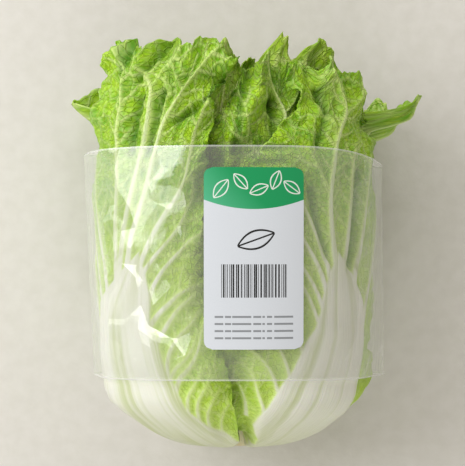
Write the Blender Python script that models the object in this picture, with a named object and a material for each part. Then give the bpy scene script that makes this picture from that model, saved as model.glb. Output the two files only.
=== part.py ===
"""A napa cabbage in a clear film band with a label, lying on its back, in metres.

+Y runs from the cut stump to the leaf tips and +Z is up. The origin is on the flat underside of the
film band, which the head rests on. Every leaf is laid on one outer surface: an angle round the head,
a distance along it from the stump, and a depth below it. The leaves are placed from the outside in,
and each one lies as deep as the leaves over it ask.
"""

import math

import bmesh
import bpy
import numpy as np

# Driving dimensions of the head
HEAD_MIDDLE = 0.150            # from the stump's cut face to the origin, along Y
STUMP_RADIUS = 0.0185
LEAF_ROOT_RADIUS = 0.020       # where the leaves leave the stump
BELLY_HALF_WIDTH = 0.101
SHOULDER_HALF_WIDTH = 0.107
TIP_HALF_WIDTH = 0.092
FOOT_HEIGHT = 0.075            # height of the rounded foot, along Y
SHOULDER_HEIGHT = 0.217        # where the head is widest
TIP_HEIGHT = 0.300             # the highest leaf tip
FOOT_POWER = 2.2               # how square the rounded foot is
HEIGHT_SHARE = 0.755           # how much the height grows where the width grows by 1
SECTION_POWER = 2.25           # how square the cross section is
FLAT_DEPTH = 0.078             # from the axis down to the flattened underside of the leaves
FLAT_SHARPNESS = 40.0          # how sharply the belly turns into that flat

# Film band and label
FILM_THICKNESS = 0.0006
FILM_GAP = 0.0010              # between the leaves' outer surface and the film
FILM_LOW = 0.050               # the band's two edges, along Y from the stump
FILM_HIGH = 0.2165
FILM_DROOPS = (0.002, 0.012)   # how far the upper edge comes down at the left and at the right side
CREASE_LEFT = (0.1053, 0.1135)     # how far out the folded sides stand, at the low and the high edge
CREASE_RIGHT = (0.1120, 0.1098)
FILM_COUNTS = (13, 13, 7, 3, 3, 7)   # flat pieces round the band between creases, top and underside
CREASE_DROP = 0.016            # how far the creases lie below the axis
LABEL_HALF_WIDTH = 0.0342
LABEL_LOW = 0.0755
LABEL_HIGH = 0.2012
LABEL_MIDDLE_X = 0.0128
LABEL_CORNER = 0.006
LABEL_THICKNESS = 0.0006
LABEL_GAP = 0.0005             # between the film and the label

AXIS_HEIGHT = FLAT_DEPTH + 0.0004 + FILM_THICKNESS

# Leaves
BLADE_THICKNESS = 0.0010
LEAF_GAP = 0.0011              # between a leaf and the one under it
BLADE_STEP = 0.0022            # how far the blade lies below the face of the midrib
VEIN_RELIEF = 0.0012
VEIN_SLANT = 0.062             # how far a vein climbs from the midrib to the leaf's edge
FREE_START = 0.005             # how far above the film the leaves start to bend outward
COVERED_RUFFLE = 0.25          # share of its ruffle that an edge keeps under another leaf
STATIONS = (0.0, 0.2, 0.4, 0.6, 0.8, 1.0)   # shares of a leaf's length that its tables are given at
RIB_HALF_WIDTHS = (0.024, 0.040, 0.035, 0.019, 0.008, 0.003)
RIB_THICKNESSES = (0.0085, 0.0095, 0.0075, 0.0045, 0.0022, 0.0008)
LEAF_ROWS, LEAF_COLUMNS = 22, 15
INNER_ROWS, INNER_COLUMNS = 15, 11

# "middle" is the angle of a leaf's midrib in degrees: 0 at the right, 90 on top, 180 at the left. "high" and
# "low" are the angles from it to the edge with the higher and the edge with the lower angle. "drop" is how
# much shorter the leaf is at its two upper corners, as a share of its length, high side first. "flare" is how
# far its free end bends outward at the low edge, the midrib and the high edge, and "sink" how much deeper it
# lies, in millimetres. "turn" shifts its waves. The leaves stand in the order in which they lie, outermost
# first.
LEAVES = (
    {"name": "leaf_front_left", "length": 0.341, "drop": (0.00, 0.02), "ruffle": 0.0050, "turn": 0.4,
     "middle": (118, 128, 138, 134, 126, 121),
     "high": (40, 46, 52, 52, 40, 33), "low": (36, 34, 32, 30, 24, 33),
     "flare": (3, 4, 11), "sink": 0},
    {"name": "leaf_front_right", "length": 0.327, "drop": (0.01, 0.09), "ruffle": 0.0040, "turn": 1.7,
     "middle": (60, 46, 38, 41, 44, 42),
     "high": (38, 56, 62, 38, 12, 15), "low": (40, 60, 62, 56, 32, 27),
     "flare": (2, 3, 2), "sink": 0},
    {"name": "leaf_side_right", "length": 0.303, "drop": (0.00, 0.05), "ruffle": 0.0035, "turn": 3.3,
     "middle": (10, 4, 0, -6, -18, -22),
     "high": (42, 46, 46, 38, 24, 25), "low": (42, 46, 46, 42, 30, 24),
     "flare": (0, 16, 40), "sink": 0},
    {"name": "leaf_back_left", "length": 0.306, "drop": (0.13, 0.06), "ruffle": 0.0060, "turn": 4.1,
     "middle": (218, 222, 224, 224, 222, 220),
     "high": (40, 48, 48, 47, 42, 34), "low": (38, 44, 48, 48, 38, 36),
     "flare": (26, 4, 0), "sink": 0},
    {"name": "leaf_back_right", "length": 0.314, "drop": (0.10, 0.13), "ruffle": 0.0040, "turn": 2.9,
     "middle": (322, 318, 316, 316, 316, 312),
     "high": (38, 44, 50, 52, 44, 30), "low": (42, 50, 48, 46, 40, 34),
     "flare": (0, 2, 2), "sink": 0},
    {"name": "leaf_front_middle", "length": 0.332, "drop": (0.06, 0.03), "ruffle": 0.0040, "turn": 0.9,
     "middle": (92, 90, 84, 77, 71, 69),
     "high": (40, 44, 40, 36, 34, 20), "low": (40, 44, 46, 44, 38, 30),
     "flare": (0, 4, 4), "sink": 2},
    {"name": "leaf_side_left", "length": 0.326, "drop": (0.06, 0.04), "ruffle": 0.0040, "turn": 5.0,
     "middle": (176, 174, 172, 170, 166, 164),
     "high": (42, 46, 48, 46, 36, 26), "low": (42, 46, 46, 44, 34, 26),
     "flare": (0, 0, 8), "sink": 2},
    {"name": "leaf_back_middle", "length": 0.326, "drop": (0.12, 0.12), "ruffle": 0.0040, "turn": 2.2,
     "middle": (272, 270, 268, 268, 268, 268),
     "high": (40, 46, 50, 48, 42, 32), "low": (40, 46, 50, 48, 42, 32),
     "flare": (0, 0, 0), "sink": 4},
)
INNER_LEAVES = (
    {"name": "leaf_inner_left", "length": 0.342, "drop": (0.08, 0.02), "ruffle": 0.0050, "turn": 3.9,
     "middle": (134, 130, 124, 118, 112, 106),
     "high": (40, 52, 60, 60, 54, 44), "low": (40, 50, 52, 50, 44, 36),
     "flare": (0, 2, 2), "sink": 3},
    {"name": "leaf_inner_right", "length": 0.346, "drop": (0.04, 0.10), "ruffle": 0.0070, "turn": 5.3,
     "middle": (22, 28, 34, 42, 48, 50),
     "high": (40, 50, 52, 48, 40, 30), "low": (40, 52, 58, 56, 50, 40),
     "flare": (0, 2, 2), "sink": 2},
    {"name": "leaf_inner_back", "length": 0.322, "drop": (0.08, 0.08), "ruffle": 0.0040, "turn": 1.1,
     "middle": (262, 264, 266, 268, 270, 272),
     "high": (40, 50, 60, 62, 58, 48), "low": (40, 50, 60, 62, 58, 48),
     "flare": (0, 0, 0), "sink": 10},
)

# Depth field: how deep the leaves placed so far reach, on a grid of angle and distance from the stump
FIELD_ANGLES = 180
FIELD_STEPS = 122
FIELD_LENGTH = 0.366
SPREAD_CELLS = 4               # how far a leaf's depth is spread sideways before it is smoothed
SMOOTH_PASSES = 4
HEART_GAP = 0.0040             # between the inner leaves and the heart

# Heart
HEART_RINGS, HEART_SIDES = 13, 30
HEART_DOME_START = 0.222       # along Y from the stump
HEART_DOME_TOP = 0.262
HEART_TIPS = 6
HEART_TIP_THICKNESS = 0.0012
GOLDEN_ANGLE = 137.5

# Colours, as linear red, green and blue
COLOURS = {
    "outer_leaf": (0.36, 0.50, 0.11),
    "inner_leaf": (0.50, 0.60, 0.16),
    "heart": (0.68, 0.66, 0.22),
    "stump": (0.72, 0.70, 0.52),
    "clear_film": (0.85, 0.88, 0.88),
    "label": (0.86, 0.87, 0.88),
}


def eased(x):
    """0 below 0, 1 above 1 and a smooth S between."""
    x = np.clip(x, 0.0, 1.0)
    return x * x * (3.0 - 2.0 * x)


def make_outline():
    """Columns of the head's side outline from the stump: distance along it, half width, height along Y, and
    the two parts of its outward direction."""
    turn = np.linspace(0.0, math.pi / 2, 90)
    foot_width = LEAF_ROOT_RADIUS + (BELLY_HALF_WIDTH - LEAF_ROOT_RADIUS) * np.sin(turn) ** (2 / FOOT_POWER)
    foot_height = FOOT_HEIGHT * (1 - np.cos(turn) ** (2 / FOOT_POWER))
    side_height = np.linspace(FOOT_HEIGHT, TIP_HEIGHT + 0.03, 130)[1:]
    swell = (side_height - FOOT_HEIGHT) / (SHOULDER_HEIGHT - FOOT_HEIGHT)
    narrowing = np.clip((side_height - SHOULDER_HEIGHT) / (TIP_HEIGHT - SHOULDER_HEIGHT), 0, 2)
    side_width = (BELLY_HALF_WIDTH + (SHOULDER_HALF_WIDTH - BELLY_HALF_WIDTH) * eased(swell)
                  - (SHOULDER_HALF_WIDTH - TIP_HALF_WIDTH) * narrowing ** 1.6)
    width = np.concatenate([foot_width, side_width])
    height = np.concatenate([foot_height, side_height])
    distance = np.concatenate([[0.0], np.cumsum(np.hypot(np.diff(width), np.diff(height)))])
    across, along = np.gradient(height, distance), -np.gradient(width, distance)
    size = np.hypot(across, along)
    return distance, width, height, across / size, along / size


OUTLINE = make_outline()
BAND_END = float(np.interp(FILM_HIGH, OUTLINE[2], OUTLINE[0]))   # the film's upper edge, along the outline


def film_droop(angle):
    """How far the film's upper edge comes down at that angle."""
    return np.where(np.cos(angle) < 0, *FILM_DROOPS) * np.cos(angle) ** 6


def section_radius(angle, half_width):
    """Distance from the axis to the leaves' outer surface, in a cross section of that half width."""
    half_height = LEAF_ROOT_RADIUS + (half_width - LEAF_ROOT_RADIUS) * HEIGHT_SHARE
    radius = (np.abs(np.cos(angle) / half_width) ** SECTION_POWER
              + np.abs(np.sin(angle) / half_height) ** SECTION_POWER) ** (-1 / SECTION_POWER)
    to_flat = FLAT_DEPTH / np.maximum(-np.sin(angle), 1e-3)
    return (radius ** -FLAT_SHARPNESS + to_flat ** -FLAT_SHARPNESS) ** (-1 / FLAT_SHARPNESS)


def on_head(angle, distance, depth):
    """Points at that angle (radians), distance along the outline from the stump, and depth below the head's
    outer surface."""
    along, width, height, out_across, out_along = OUTLINE
    radius = section_radius(angle, np.interp(distance, along, width))
    radius = radius - depth * np.interp(distance, along, out_across)
    y = np.interp(distance, along, height) - depth * np.interp(distance, along, out_along)
    return np.stack([radius * np.cos(angle), y - HEAD_MIDDLE, AXIS_HEIGHT + radius * np.sin(angle)], axis=-1)


class DepthField:
    """How deep the leaves placed so far reach below the head's outer surface."""

    def __init__(self):
        self.depth = np.zeros((FIELD_ANGLES, FIELD_STEPS))
        self.smooth = self.depth

    def cells(self, angle, distance):
        return (np.degrees(angle) % 360) * FIELD_ANGLES / 360, distance / FIELD_LENGTH * (FIELD_STEPS - 1)

    def add(self, angle, distance, depth):
        """Takes in a leaf's inner face, given at many points."""
        i, j = self.cells(angle, distance)
        i = np.round(i).astype(int) % FIELD_ANGLES
        j = np.clip(np.round(j).astype(int), 0, FIELD_STEPS - 1)
        np.maximum.at(self.depth, (i, j), depth)
        wide = self.depth
        for _ in range(SPREAD_CELLS):
            wide = np.maximum.reduce([wide, np.roll(wide, 1, 0), np.roll(wide, -1, 0)])
            ahead = np.roll(wide, 1, 1) * self.inside(1)
            behind = np.roll(wide, -1, 1) * self.inside(-1)
            wide = np.maximum.reduce([wide, ahead, behind])
        for _ in range(SMOOTH_PASSES):
            wide = (np.roll(wide, 1, 0) + 2 * wide + np.roll(wide, -1, 0)) / 4
            padded = np.pad(wide, ((0, 0), (1, 1)), mode="edge")
            wide = (padded[:, :-2] + 2 * wide + padded[:, 2:]) / 4
        self.smooth = np.maximum(wide, self.depth)

    def inside(self, shift):
        """A mask that stops np.roll from carrying one end of the head to the other."""
        kept = np.ones(FIELD_STEPS)
        kept[0 if shift > 0 else -1] = 0
        return kept

    def under(self, angle, distance):
        """The smoothed depth at these points."""
        i, j = self.cells(angle, distance)
        i0 = np.floor(i).astype(int)
        j0 = np.clip(np.floor(j).astype(int), 0, FIELD_STEPS - 2)
        di, dj = i - i0, np.clip(j - j0, 0, 1)
        i0, i1 = i0 % FIELD_ANGLES, (i0 + 1) % FIELD_ANGLES
        low = self.smooth[i0, j0] * (1 - di) + self.smooth[i1, j0] * di
        high = self.smooth[i0, j0 + 1] * (1 - di) + self.smooth[i1, j0 + 1] * di
        return low * (1 - dj) + high * dj


def row_share(u):
    """Share of a leaf's length at row number u from 0 to 1: the rows lie closer together near the tip."""
    return 1.35 * u - 0.35 * u * u


def leaf_faces(leaf, u, s, field):
    """Angle, distance and the depths of a leaf's outer and inner face. u runs from root to tip, s from the
    high edge (1) over the midrib (0) to the low edge (-1)."""
    v = row_share(u)
    side = np.abs(s)
    reach = np.where(s > 0, np.interp(v, STATIONS, leaf["high"]), np.interp(v, STATIONS, leaf["low"]))
    drop = np.where(s > 0, leaf["drop"][0], leaf["drop"][1])
    scallop = leaf["ruffle"] * np.sin(9 * s + leaf["turn"]) * eased((v - 0.7) / 0.3)
    distance = (v * leaf["length"] * (1 - drop * side ** 2.4) + VEIN_SLANT * side ** 1.3 * np.sin(math.pi * v)
                + scallop)
    edge_wave = 1 + 0.05 * np.sin(19 * v + leaf["turn"]) * side ** 3 * eased((v - 0.25) / 0.2)
    angle = np.radians(np.interp(v, STATIONS, leaf["middle"]) + s * reach * edge_wave)
    head_radius = 0.9 * np.interp(distance, OUTLINE[0], OUTLINE[1])
    across = side * np.radians(reach) * head_radius
    rib_width = np.interp(v, STATIONS, RIB_HALF_WIDTHS)
    rib = np.clip(1 - (across / rib_width) ** 2, 0, 1) ** 0.7
    blade = eased((across - rib_width) / 0.010 + 0.5)
    over = field.under(angle, distance)
    covered = eased(over / 0.004)
    band = BAND_END + FREE_START - film_droop(angle)
    end = np.maximum(leaf["length"] * (1 - drop * side ** 2.4) + scallop, band + 0.010)
    free_end = np.clip((distance - band) / (end - band), 0, 1)
    tip_zone = eased((distance - band) / 0.025)
    veins = 0.5 - 0.5 * np.cos(math.pi * u * (LEAF_ROWS - 1))
    edge = np.clip((side - 0.5) / 0.5, 0, 1) ** 1.4
    top = np.clip((v - 0.80) / 0.20, 0, 1) ** 1.4
    wave = (edge * np.sin(34 * v + 5 * s + leaf["turn"]) + top * np.sin(8.5 * s + 2 * leaf["turn"]))
    ruffle = leaf["ruffle"] * (1 - (1 - COVERED_RUFFLE) * covered) * (wave + (1 - tip_zone) * (edge + top))
    flare = 0.001 * np.interp(s, (-1, 0, 1), leaf["flare"]) * free_end ** 0.75
    depth = (over + blade * (BLADE_STEP + VEIN_RELIEF * veins) + ruffle + 0.001 * leaf["sink"] * free_end
             - flare * (1 - covered))
    floor = over + LEAF_GAP * covered - 0.06 * (1 - covered) * (tip_zone > 0)
    depth = np.maximum(depth, floor)
    thickness = BLADE_THICKNESS + np.interp(v, STATIONS, RIB_THICKNESSES) * rib
    return angle, distance, depth, depth + thickness


def material(name):
    found = bpy.data.materials.get(name)
    if found:
        return found
    made = bpy.data.materials.new(name)
    made.use_nodes = True
    shader = made.node_tree.nodes["Principled BSDF"]
    shader.inputs["Base Color"].default_value = (*COLOURS[name], 1)
    shader.inputs["Roughness"].default_value = 0.15 if name == "clear_film" else 0.45
    shader.inputs["Metallic"].default_value = 0.0
    if name == "clear_film":
        shader.inputs["Alpha"].default_value = 0.25
    return made


def new_object(name, points, faces, finish):
    mesh = bpy.data.meshes.new(name)
    mesh.from_pydata([tuple(p) for p in points], [], faces)
    mesh.update()
    mesh.materials.append(material(finish))
    mesh.shade_smooth()
    made = bpy.data.objects.new(name, mesh)
    bpy.context.scene.collection.objects.link(made)
    return made


def two_faced(name, outer, inner, finish):
    """A closed thin solid between two grids of points. Both faces are split into triangles the same way."""
    rows, columns = outer.shape[:2]
    back = rows * columns

    def at(i, j):
        return i * columns + j

    faces = []
    for i in range(rows - 1):
        for j in range(columns - 1):
            a, b, c, d = at(i, j), at(i, j + 1), at(i + 1, j + 1), at(i + 1, j)
            for tri in ((a, b, c), (a, c, d)):
                faces.append(tri)
                faces.append(tuple(back + k for k in reversed(tri)))
    rim = ([at(0, j) for j in range(columns)] + [at(i, columns - 1) for i in range(1, rows)]
           + [at(rows - 1, j) for j in range(columns - 2, -1, -1)]
           + [at(i, 0) for i in range(rows - 2, 0, -1)])
    for a, b in zip(rim, rim[1:] + rim[:1]):
        faces += [(b, a, back + a), (b, back + a, back + b)]
    return new_object(name, np.concatenate([outer.reshape(-1, 3), inner.reshape(-1, 3)]), faces, finish)


def make_leaf(leaf, field, rows, columns, finish):
    """One leaf as its own solid, laid under the leaves that are already placed."""
    u, s = np.meshgrid(np.linspace(0, 1, rows), np.linspace(1, -1, columns), indexing="ij")
    angle, distance, outer, inner = leaf_faces(leaf, u, s, field)
    made = two_faced(leaf["name"], on_head(angle, distance, outer), on_head(angle, distance, inner), finish)
    u, s = np.meshgrid(np.linspace(0, 1, 240), np.linspace(1, -1, 160), indexing="ij")
    angle, distance, _, inner = leaf_faces(leaf, u, s, field)
    field.add(angle, distance, inner)
    return made


def ring_solid(name, rings, low_end, high_end, finish):
    """A closed solid through rings of points, with a point on the axis at each end."""
    count = rings.shape[1]
    points = np.concatenate([rings.reshape(-1, 3), [low_end, high_end]])
    low, high = len(points) - 2, len(points) - 1
    faces = []
    for j in range(count):
        k = (j + 1) % count
        faces.append((low, j, k))
        for i in range(len(rings) - 1):
            a, b = i * count + j, i * count + k
            c, d = (i + 1) * count + k, (i + 1) * count + j
            faces += [(a, c, b), (a, d, c)]
        last = (len(rings) - 1) * count
        faces.append((high, last + k, last + j))
    return new_object(name, points, faces, finish)


def heart_radius(angle, y, field):
    """Distance from the axis to the heart's side at height y, and the height itself under the dome."""
    distance = np.interp(y, OUTLINE[2], OUTLINE[0])
    depth = field.under(angle, distance) + HEART_GAP
    return section_radius(angle, np.interp(distance, OUTLINE[0], OUTLINE[1])) - depth


def make_heart(field):
    """The packed inner leaves: a core with the ruffled tips of its leaves standing out of its top."""
    angle = np.radians(np.arange(HEART_SIDES) * 360 / HEART_SIDES)
    rings = []
    for distance in np.linspace(0.0, np.interp(HEART_DOME_START, OUTLINE[2], OUTLINE[0]), HEART_RINGS):
        along = np.full(HEART_SIDES, distance)
        rings.append(on_head(angle, along, field.under(angle, along) + HEART_GAP))
    dome_radius = heart_radius(angle, HEART_DOME_START, field)
    dome_radius = np.minimum(dome_radius, heart_radius(angle, HEART_DOME_TOP, field) * 1.08)
    for share in (0.35, 0.62, 0.82, 0.95):
        radius = dome_radius * math.sqrt(1 - share * share)
        y = HEART_DOME_START + share * (HEART_DOME_TOP - HEART_DOME_START)
        rings.append(np.stack([radius * np.cos(angle), np.full(HEART_SIDES, y - HEAD_MIDDLE),
                               AXIS_HEIGHT + radius * np.sin(angle)], axis=-1))
    base_y = float(rings[0][:, 1].max())
    rings[0][:, 1] = np.maximum(rings[0][:, 1], base_y - 0.002)
    core = ring_solid("heart", np.array(rings), (0, base_y, AXIS_HEIGHT),
                      (0, HEART_DOME_TOP - HEAD_MIDDLE, AXIS_HEIGHT), "heart")
    tips = bpy.data.collections.new("heart_tips")
    bpy.context.scene.collection.children.link(tips)
    for k in range(HEART_TIPS):
        tip = heart_tip(k, dome_radius, angle)
        bpy.context.scene.collection.objects.unlink(tip)
        tips.objects.link(tip)
    union = core.modifiers.new("join tips", "BOOLEAN")
    union.operation = "UNION"
    union.operand_type = "COLLECTION"
    union.collection = tips
    union.solver = "EXACT"
    bpy.context.view_layer.update()
    graph = bpy.context.evaluated_depsgraph_get()
    joined = bpy.data.meshes.new_from_object(core.evaluated_get(graph))
    core.modifiers.clear()
    core.data = joined
    for tip in list(tips.objects):
        bpy.data.objects.remove(tip)
    bpy.data.collections.remove(tips)
    return core


def heart_tip(k, dome_radius, dome_angles):
    """The upper end of one packed leaf: a waved blade that wraps part of the heart and stands out of it."""
    rows, columns = 8, 13
    u, s = np.meshgrid(np.linspace(0, 1, rows), np.linspace(1, -1, columns), indexing="ij")
    wrap = np.radians(88 - 5 * k)
    angle = math.radians(20 + GOLDEN_ANGLE * k) + s * wrap
    scale = (0.93 - 0.135 * k) * (1 - 0.30 * u ** 2.2)
    wave = 0.0022 * np.sin(9 * s + 1.3 * k) * u ** 1.5
    start = HEART_DOME_START - 0.004
    height = 0.052 + 0.004 * math.cos(2.2 * k)
    y = start + u * height * (1 - 0.30 * np.abs(s) ** 2.5) + 0.003 * np.sin(7 * s + k) * u
    ends = np.radians(360)
    around = np.interp(angle % ends, np.append(dome_angles, ends), np.append(dome_radius, dome_radius[0]))
    outer = around * scale + wave
    faces = []
    for radius in (outer, outer - HEART_TIP_THICKNESS):
        x, z = radius * np.cos(angle), AXIS_HEIGHT + radius * np.sin(angle)
        faces.append(np.stack([x, y - HEAD_MIDDLE, z], axis=-1))
    return two_faced(f"heart_tip_{k}", faces[0], faces[1], "heart")


def make_stump(top):
    """The short stem that all leaves grow from, cut off just below them."""
    mesh = bmesh.new()
    bmesh.ops.create_cone(mesh, cap_ends=True, segments=24, radius1=STUMP_RADIUS * 0.97,
                          radius2=STUMP_RADIUS * 0.86, depth=top)
    rims = [e for e in mesh.edges if len(e.link_faces) == 2 and e.calc_face_angle() > 1.0]
    bmesh.ops.bevel(mesh, geom=rims, offset=0.0015, segments=1, affect="EDGES")
    data = bpy.data.meshes.new("stump")
    mesh.to_mesh(data)
    mesh.free()
    data.materials.append(material("stump"))
    data.shade_smooth()
    stump = bpy.data.objects.new("stump", data)
    stump.rotation_euler = (-math.pi / 2, 0, 0)
    stump.location = (0, top / 2 - HEAD_MIDDLE, AXIS_HEIGHT)
    bpy.context.scene.collection.objects.link(stump)
    return stump


def convex_hull(points):
    """The convex hull of points in a plane, anticlockwise."""
    points = sorted(set(map(tuple, points)))

    def half(run):
        kept = []
        for p in run:
            while len(kept) > 1 and ((kept[-1][0] - kept[-2][0]) * (p[1] - kept[-2][1])
                                     - (kept[-1][1] - kept[-2][1]) * (p[0] - kept[-2][0])) <= 0:
                kept.pop()
            kept.append(p)
        return kept[:-1]

    return np.array(half(points) + half(points[::-1]))


def ray_to_hull(angle, hull):
    """Distance from the axis to the hull along each angle."""
    found = np.zeros_like(angle)
    ends = np.roll(hull, -1, axis=0)
    for (x0, z0), (x1, z1) in zip(hull, ends):
        cross = np.cos(angle) * (z1 - z0) - np.sin(angle) * (x1 - x0)
        with np.errstate(divide="ignore", invalid="ignore"):
            reach = (x0 * (z1 - z0) - z0 * (x1 - x0)) / cross
            share = (x0 * np.sin(angle) - z0 * np.cos(angle)) / cross
        hit = (share >= -1e-9) & (share <= 1 + 1e-9) & (reach > 0)
        found = np.where(hit, np.maximum(found, reach), found)
    return found


def film_width(y):
    """How far out the left and the right crease stand at height y."""
    share = (y - FILM_LOW) / (FILM_HIGH - FILM_LOW)
    return (CREASE_LEFT[0] + share * (CREASE_LEFT[1] - CREASE_LEFT[0]),
            CREASE_RIGHT[0] + share * (CREASE_RIGHT[1] - CREASE_RIGHT[0]))


def film_radius(angle, y):
    """Inner radius of the film at height y: it is pulled taut over the head and its two folded sides."""
    around = np.radians(np.arange(0, 360, 2))
    width = np.interp(y, OUTLINE[2], OUTLINE[1])
    radius = section_radius(around, width) + FILM_GAP
    points = np.stack([radius * np.cos(around), radius * np.sin(around)], axis=-1)
    low, high = film_width(y)
    folds = [(-low, -CREASE_DROP), (high, -CREASE_DROP)]
    radius = ray_to_hull(angle, convex_hull(np.concatenate([points, folds])))
    return np.minimum(radius, (AXIS_HEIGHT - FILM_THICKNESS) / np.maximum(-np.sin(angle), 1e-3))


def film_angles(y):
    """Angles of the film's corners at height y: one on each crease, one at each end of the flat underside."""
    fine = np.radians(np.linspace(195, 270, 600))
    flat = (AXIS_HEIGHT - FILM_THICKNESS) / -np.sin(fine)
    on_flat = film_radius(fine, y) > flat - 1e-6
    corner = min(fine[int(np.argmax(on_flat))], math.radians(262)) if on_flat.any() else math.radians(262)
    low, high = film_width(y)
    left = math.atan2(-CREASE_DROP, -low) % (2 * math.pi)
    right = math.atan2(-CREASE_DROP, high)
    stops = (right, math.pi / 2, left, corner, 1.5 * math.pi, 3 * math.pi - corner, right + 2 * math.pi)
    angles = []
    for start, end, count in zip(stops, stops[1:], FILM_COUNTS):
        angles += list(np.linspace(start, end, count, endpoint=False))
    return np.array(angles)


def film_grid(shares, outward):
    """Points of the film's inner face, or of a face outward of it, at these shares of its length."""
    rows = []
    for share in shares:
        angle = film_angles(FILM_LOW + share * (FILM_HIGH - FILM_LOW))
        y = FILM_LOW + share * (FILM_HIGH - FILM_LOW - film_droop(angle))
        radius = np.array([float(film_radius(np.array([a]), h)[0]) for a, h in zip(angle, y)])
        down = np.maximum(-np.sin(angle), 1e-3)
        on_flat = radius > (AXIS_HEIGHT - FILM_THICKNESS) / down - 1e-6
        radius = radius + np.where(on_flat, outward / down, outward)
        x, z = radius * np.cos(angle), AXIS_HEIGHT + radius * np.sin(angle)
        rows.append(np.stack([x, y - HEAD_MIDDLE, z], axis=-1))
    return np.array(rows)


def make_film():
    """The clear film band: a thin closed wall all round the head, open at both ends."""
    shares = (0.0, 0.07, 0.16, 0.30, 0.60, 1.0)
    inner, outer = film_grid(shares, 0.0), film_grid(shares, FILM_THICKNESS)
    rows, count = inner.shape[:2]
    back = rows * count
    faces = []
    for j in range(count):
        k = (j + 1) % count
        for i in range(rows - 1):
            a, b, c, d = i * count + j, i * count + k, (i + 1) * count + k, (i + 1) * count + j
            for tri in ((a, c, b), (a, d, c)):
                faces.append(tri)
                faces.append(tuple(back + n for n in reversed(tri)))
        last = (rows - 1) * count
        faces += [(j, k, back + k), (j, back + k, back + j)]
        faces += [(last + k, last + j, back + last + j), (last + k, back + last + j, back + last + k)]
    points = np.concatenate([outer.reshape(-1, 3), inner.reshape(-1, 3)])
    return new_object("film_band", points, faces, "clear_film")


def make_label():
    """The label on the film: a thin sheet with round corners that follows the film's curve."""
    middle_y = (LABEL_LOW + LABEL_HIGH) / 2
    half_height = (LABEL_HIGH - LABEL_LOW) / 2
    turns = np.radians((90, 60, 30, 0))
    corner = list(half_height - LABEL_CORNER * (1 - np.sin(turns)))
    heights = [-h for h in corner] + [0.0] + corner[::-1]
    insets = list(LABEL_CORNER * (1 - np.cos(turns)))
    insets = insets + [0.0] + insets[::-1]
    across = np.linspace(-1, 1, 11)
    faces = []
    for outward in (0.0, LABEL_THICKNESS):
        lift = FILM_THICKNESS + LABEL_GAP + outward
        faces.append(np.array([[over_film(LABEL_MIDDLE_X + s * (LABEL_HALF_WIDTH - inset), middle_y + h, lift)
                                for s in across] for h, inset in zip(heights, insets)]))
    return two_faced("label", faces[1], faces[0], "label")


def over_film(x, y, outward):
    """The point on top of the film at this x and height y, that far outside the film's inner face."""
    angle = np.radians(np.linspace(40, 140, 401))
    radius = film_radius(angle, y) + outward
    k = int(np.argmin(np.abs(radius * np.cos(angle) - x)))
    return radius[k] * math.cos(angle[k]), y - HEAD_MIDDLE, AXIS_HEIGHT + radius[k] * math.sin(angle[k])


def main():
    for old in list(bpy.data.objects):
        bpy.data.objects.remove(old)
    field = DepthField()
    for leaf in LEAVES:
        make_leaf(leaf, field, LEAF_ROWS, LEAF_COLUMNS, "outer_leaf")
    for leaf in INNER_LEAVES:
        make_leaf(leaf, field, INNER_ROWS, INNER_COLUMNS, "inner_leaf")
    heart = make_heart(field)
    heart_base = min(v.co.y for v in heart.data.vertices) + HEAD_MIDDLE
    make_stump(heart_base - 0.001)
    make_film()
    make_label()


main()
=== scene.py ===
# %% [markdown]
# # A napa cabbage in a clear film band
#
# The head lies on its back and is seen from straight above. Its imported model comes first: it fixes where
# every piece is and what may touch. The looks then replace each plain solid with a finer piece that has the
# same form, with the veins, ruffles and finish of the real one.

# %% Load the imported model
import math

import bpy
import numpy as np
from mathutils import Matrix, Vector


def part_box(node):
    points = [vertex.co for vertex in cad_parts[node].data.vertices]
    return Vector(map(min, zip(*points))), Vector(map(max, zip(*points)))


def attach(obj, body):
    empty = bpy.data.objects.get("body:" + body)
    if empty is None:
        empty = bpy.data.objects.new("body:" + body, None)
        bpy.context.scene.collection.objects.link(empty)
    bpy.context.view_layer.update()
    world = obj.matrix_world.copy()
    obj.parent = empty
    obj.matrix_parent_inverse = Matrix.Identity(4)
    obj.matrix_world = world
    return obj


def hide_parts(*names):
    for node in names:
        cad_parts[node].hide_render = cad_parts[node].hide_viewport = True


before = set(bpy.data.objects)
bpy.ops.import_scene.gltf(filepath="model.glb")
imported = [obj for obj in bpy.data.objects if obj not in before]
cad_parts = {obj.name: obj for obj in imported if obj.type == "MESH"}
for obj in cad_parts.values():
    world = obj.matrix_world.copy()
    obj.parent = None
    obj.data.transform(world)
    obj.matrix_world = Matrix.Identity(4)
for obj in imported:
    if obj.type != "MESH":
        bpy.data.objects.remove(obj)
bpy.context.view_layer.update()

# %% [markdown]
# ## The head's outer surface
#
# A cabbage leaf is hard to place by hand, because it wraps a body that swells and narrows. The easy way is
# to agree on one surface, the outside of the whole head, and to say where a point is by three numbers: its
# angle round the head, its distance along the outline from the stump, and its depth below the surface. A
# leaf is then drawn flat and laid on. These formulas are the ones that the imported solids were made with.

# %% Sizes of the head, in metres
HEAD_MIDDLE = 0.150
LEAF_ROOT_RADIUS = 0.020
BELLY_HALF_WIDTH = 0.101
SHOULDER_HALF_WIDTH = 0.107
TIP_HALF_WIDTH = 0.092
FOOT_HEIGHT = 0.075
SHOULDER_HEIGHT = 0.217
TIP_HEIGHT = 0.300
FOOT_POWER = 2.2
HEIGHT_SHARE = 0.755
SECTION_POWER = 2.25
FLAT_DEPTH = 0.078
FLAT_SHARPNESS = 40.0
FILM_THICKNESS = 0.0006
FILM_GAP = 0.0010
FILM_LOW = 0.050
FILM_HIGH = 0.2165
FILM_DROOPS = (0.002, 0.012)
CREASE_LEFT = (0.1053, 0.1135)
CREASE_RIGHT = (0.1120, 0.1098)
CREASE_DROP = 0.016
AXIS_HEIGHT = FLAT_DEPTH + 0.0004 + FILM_THICKNESS


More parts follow.
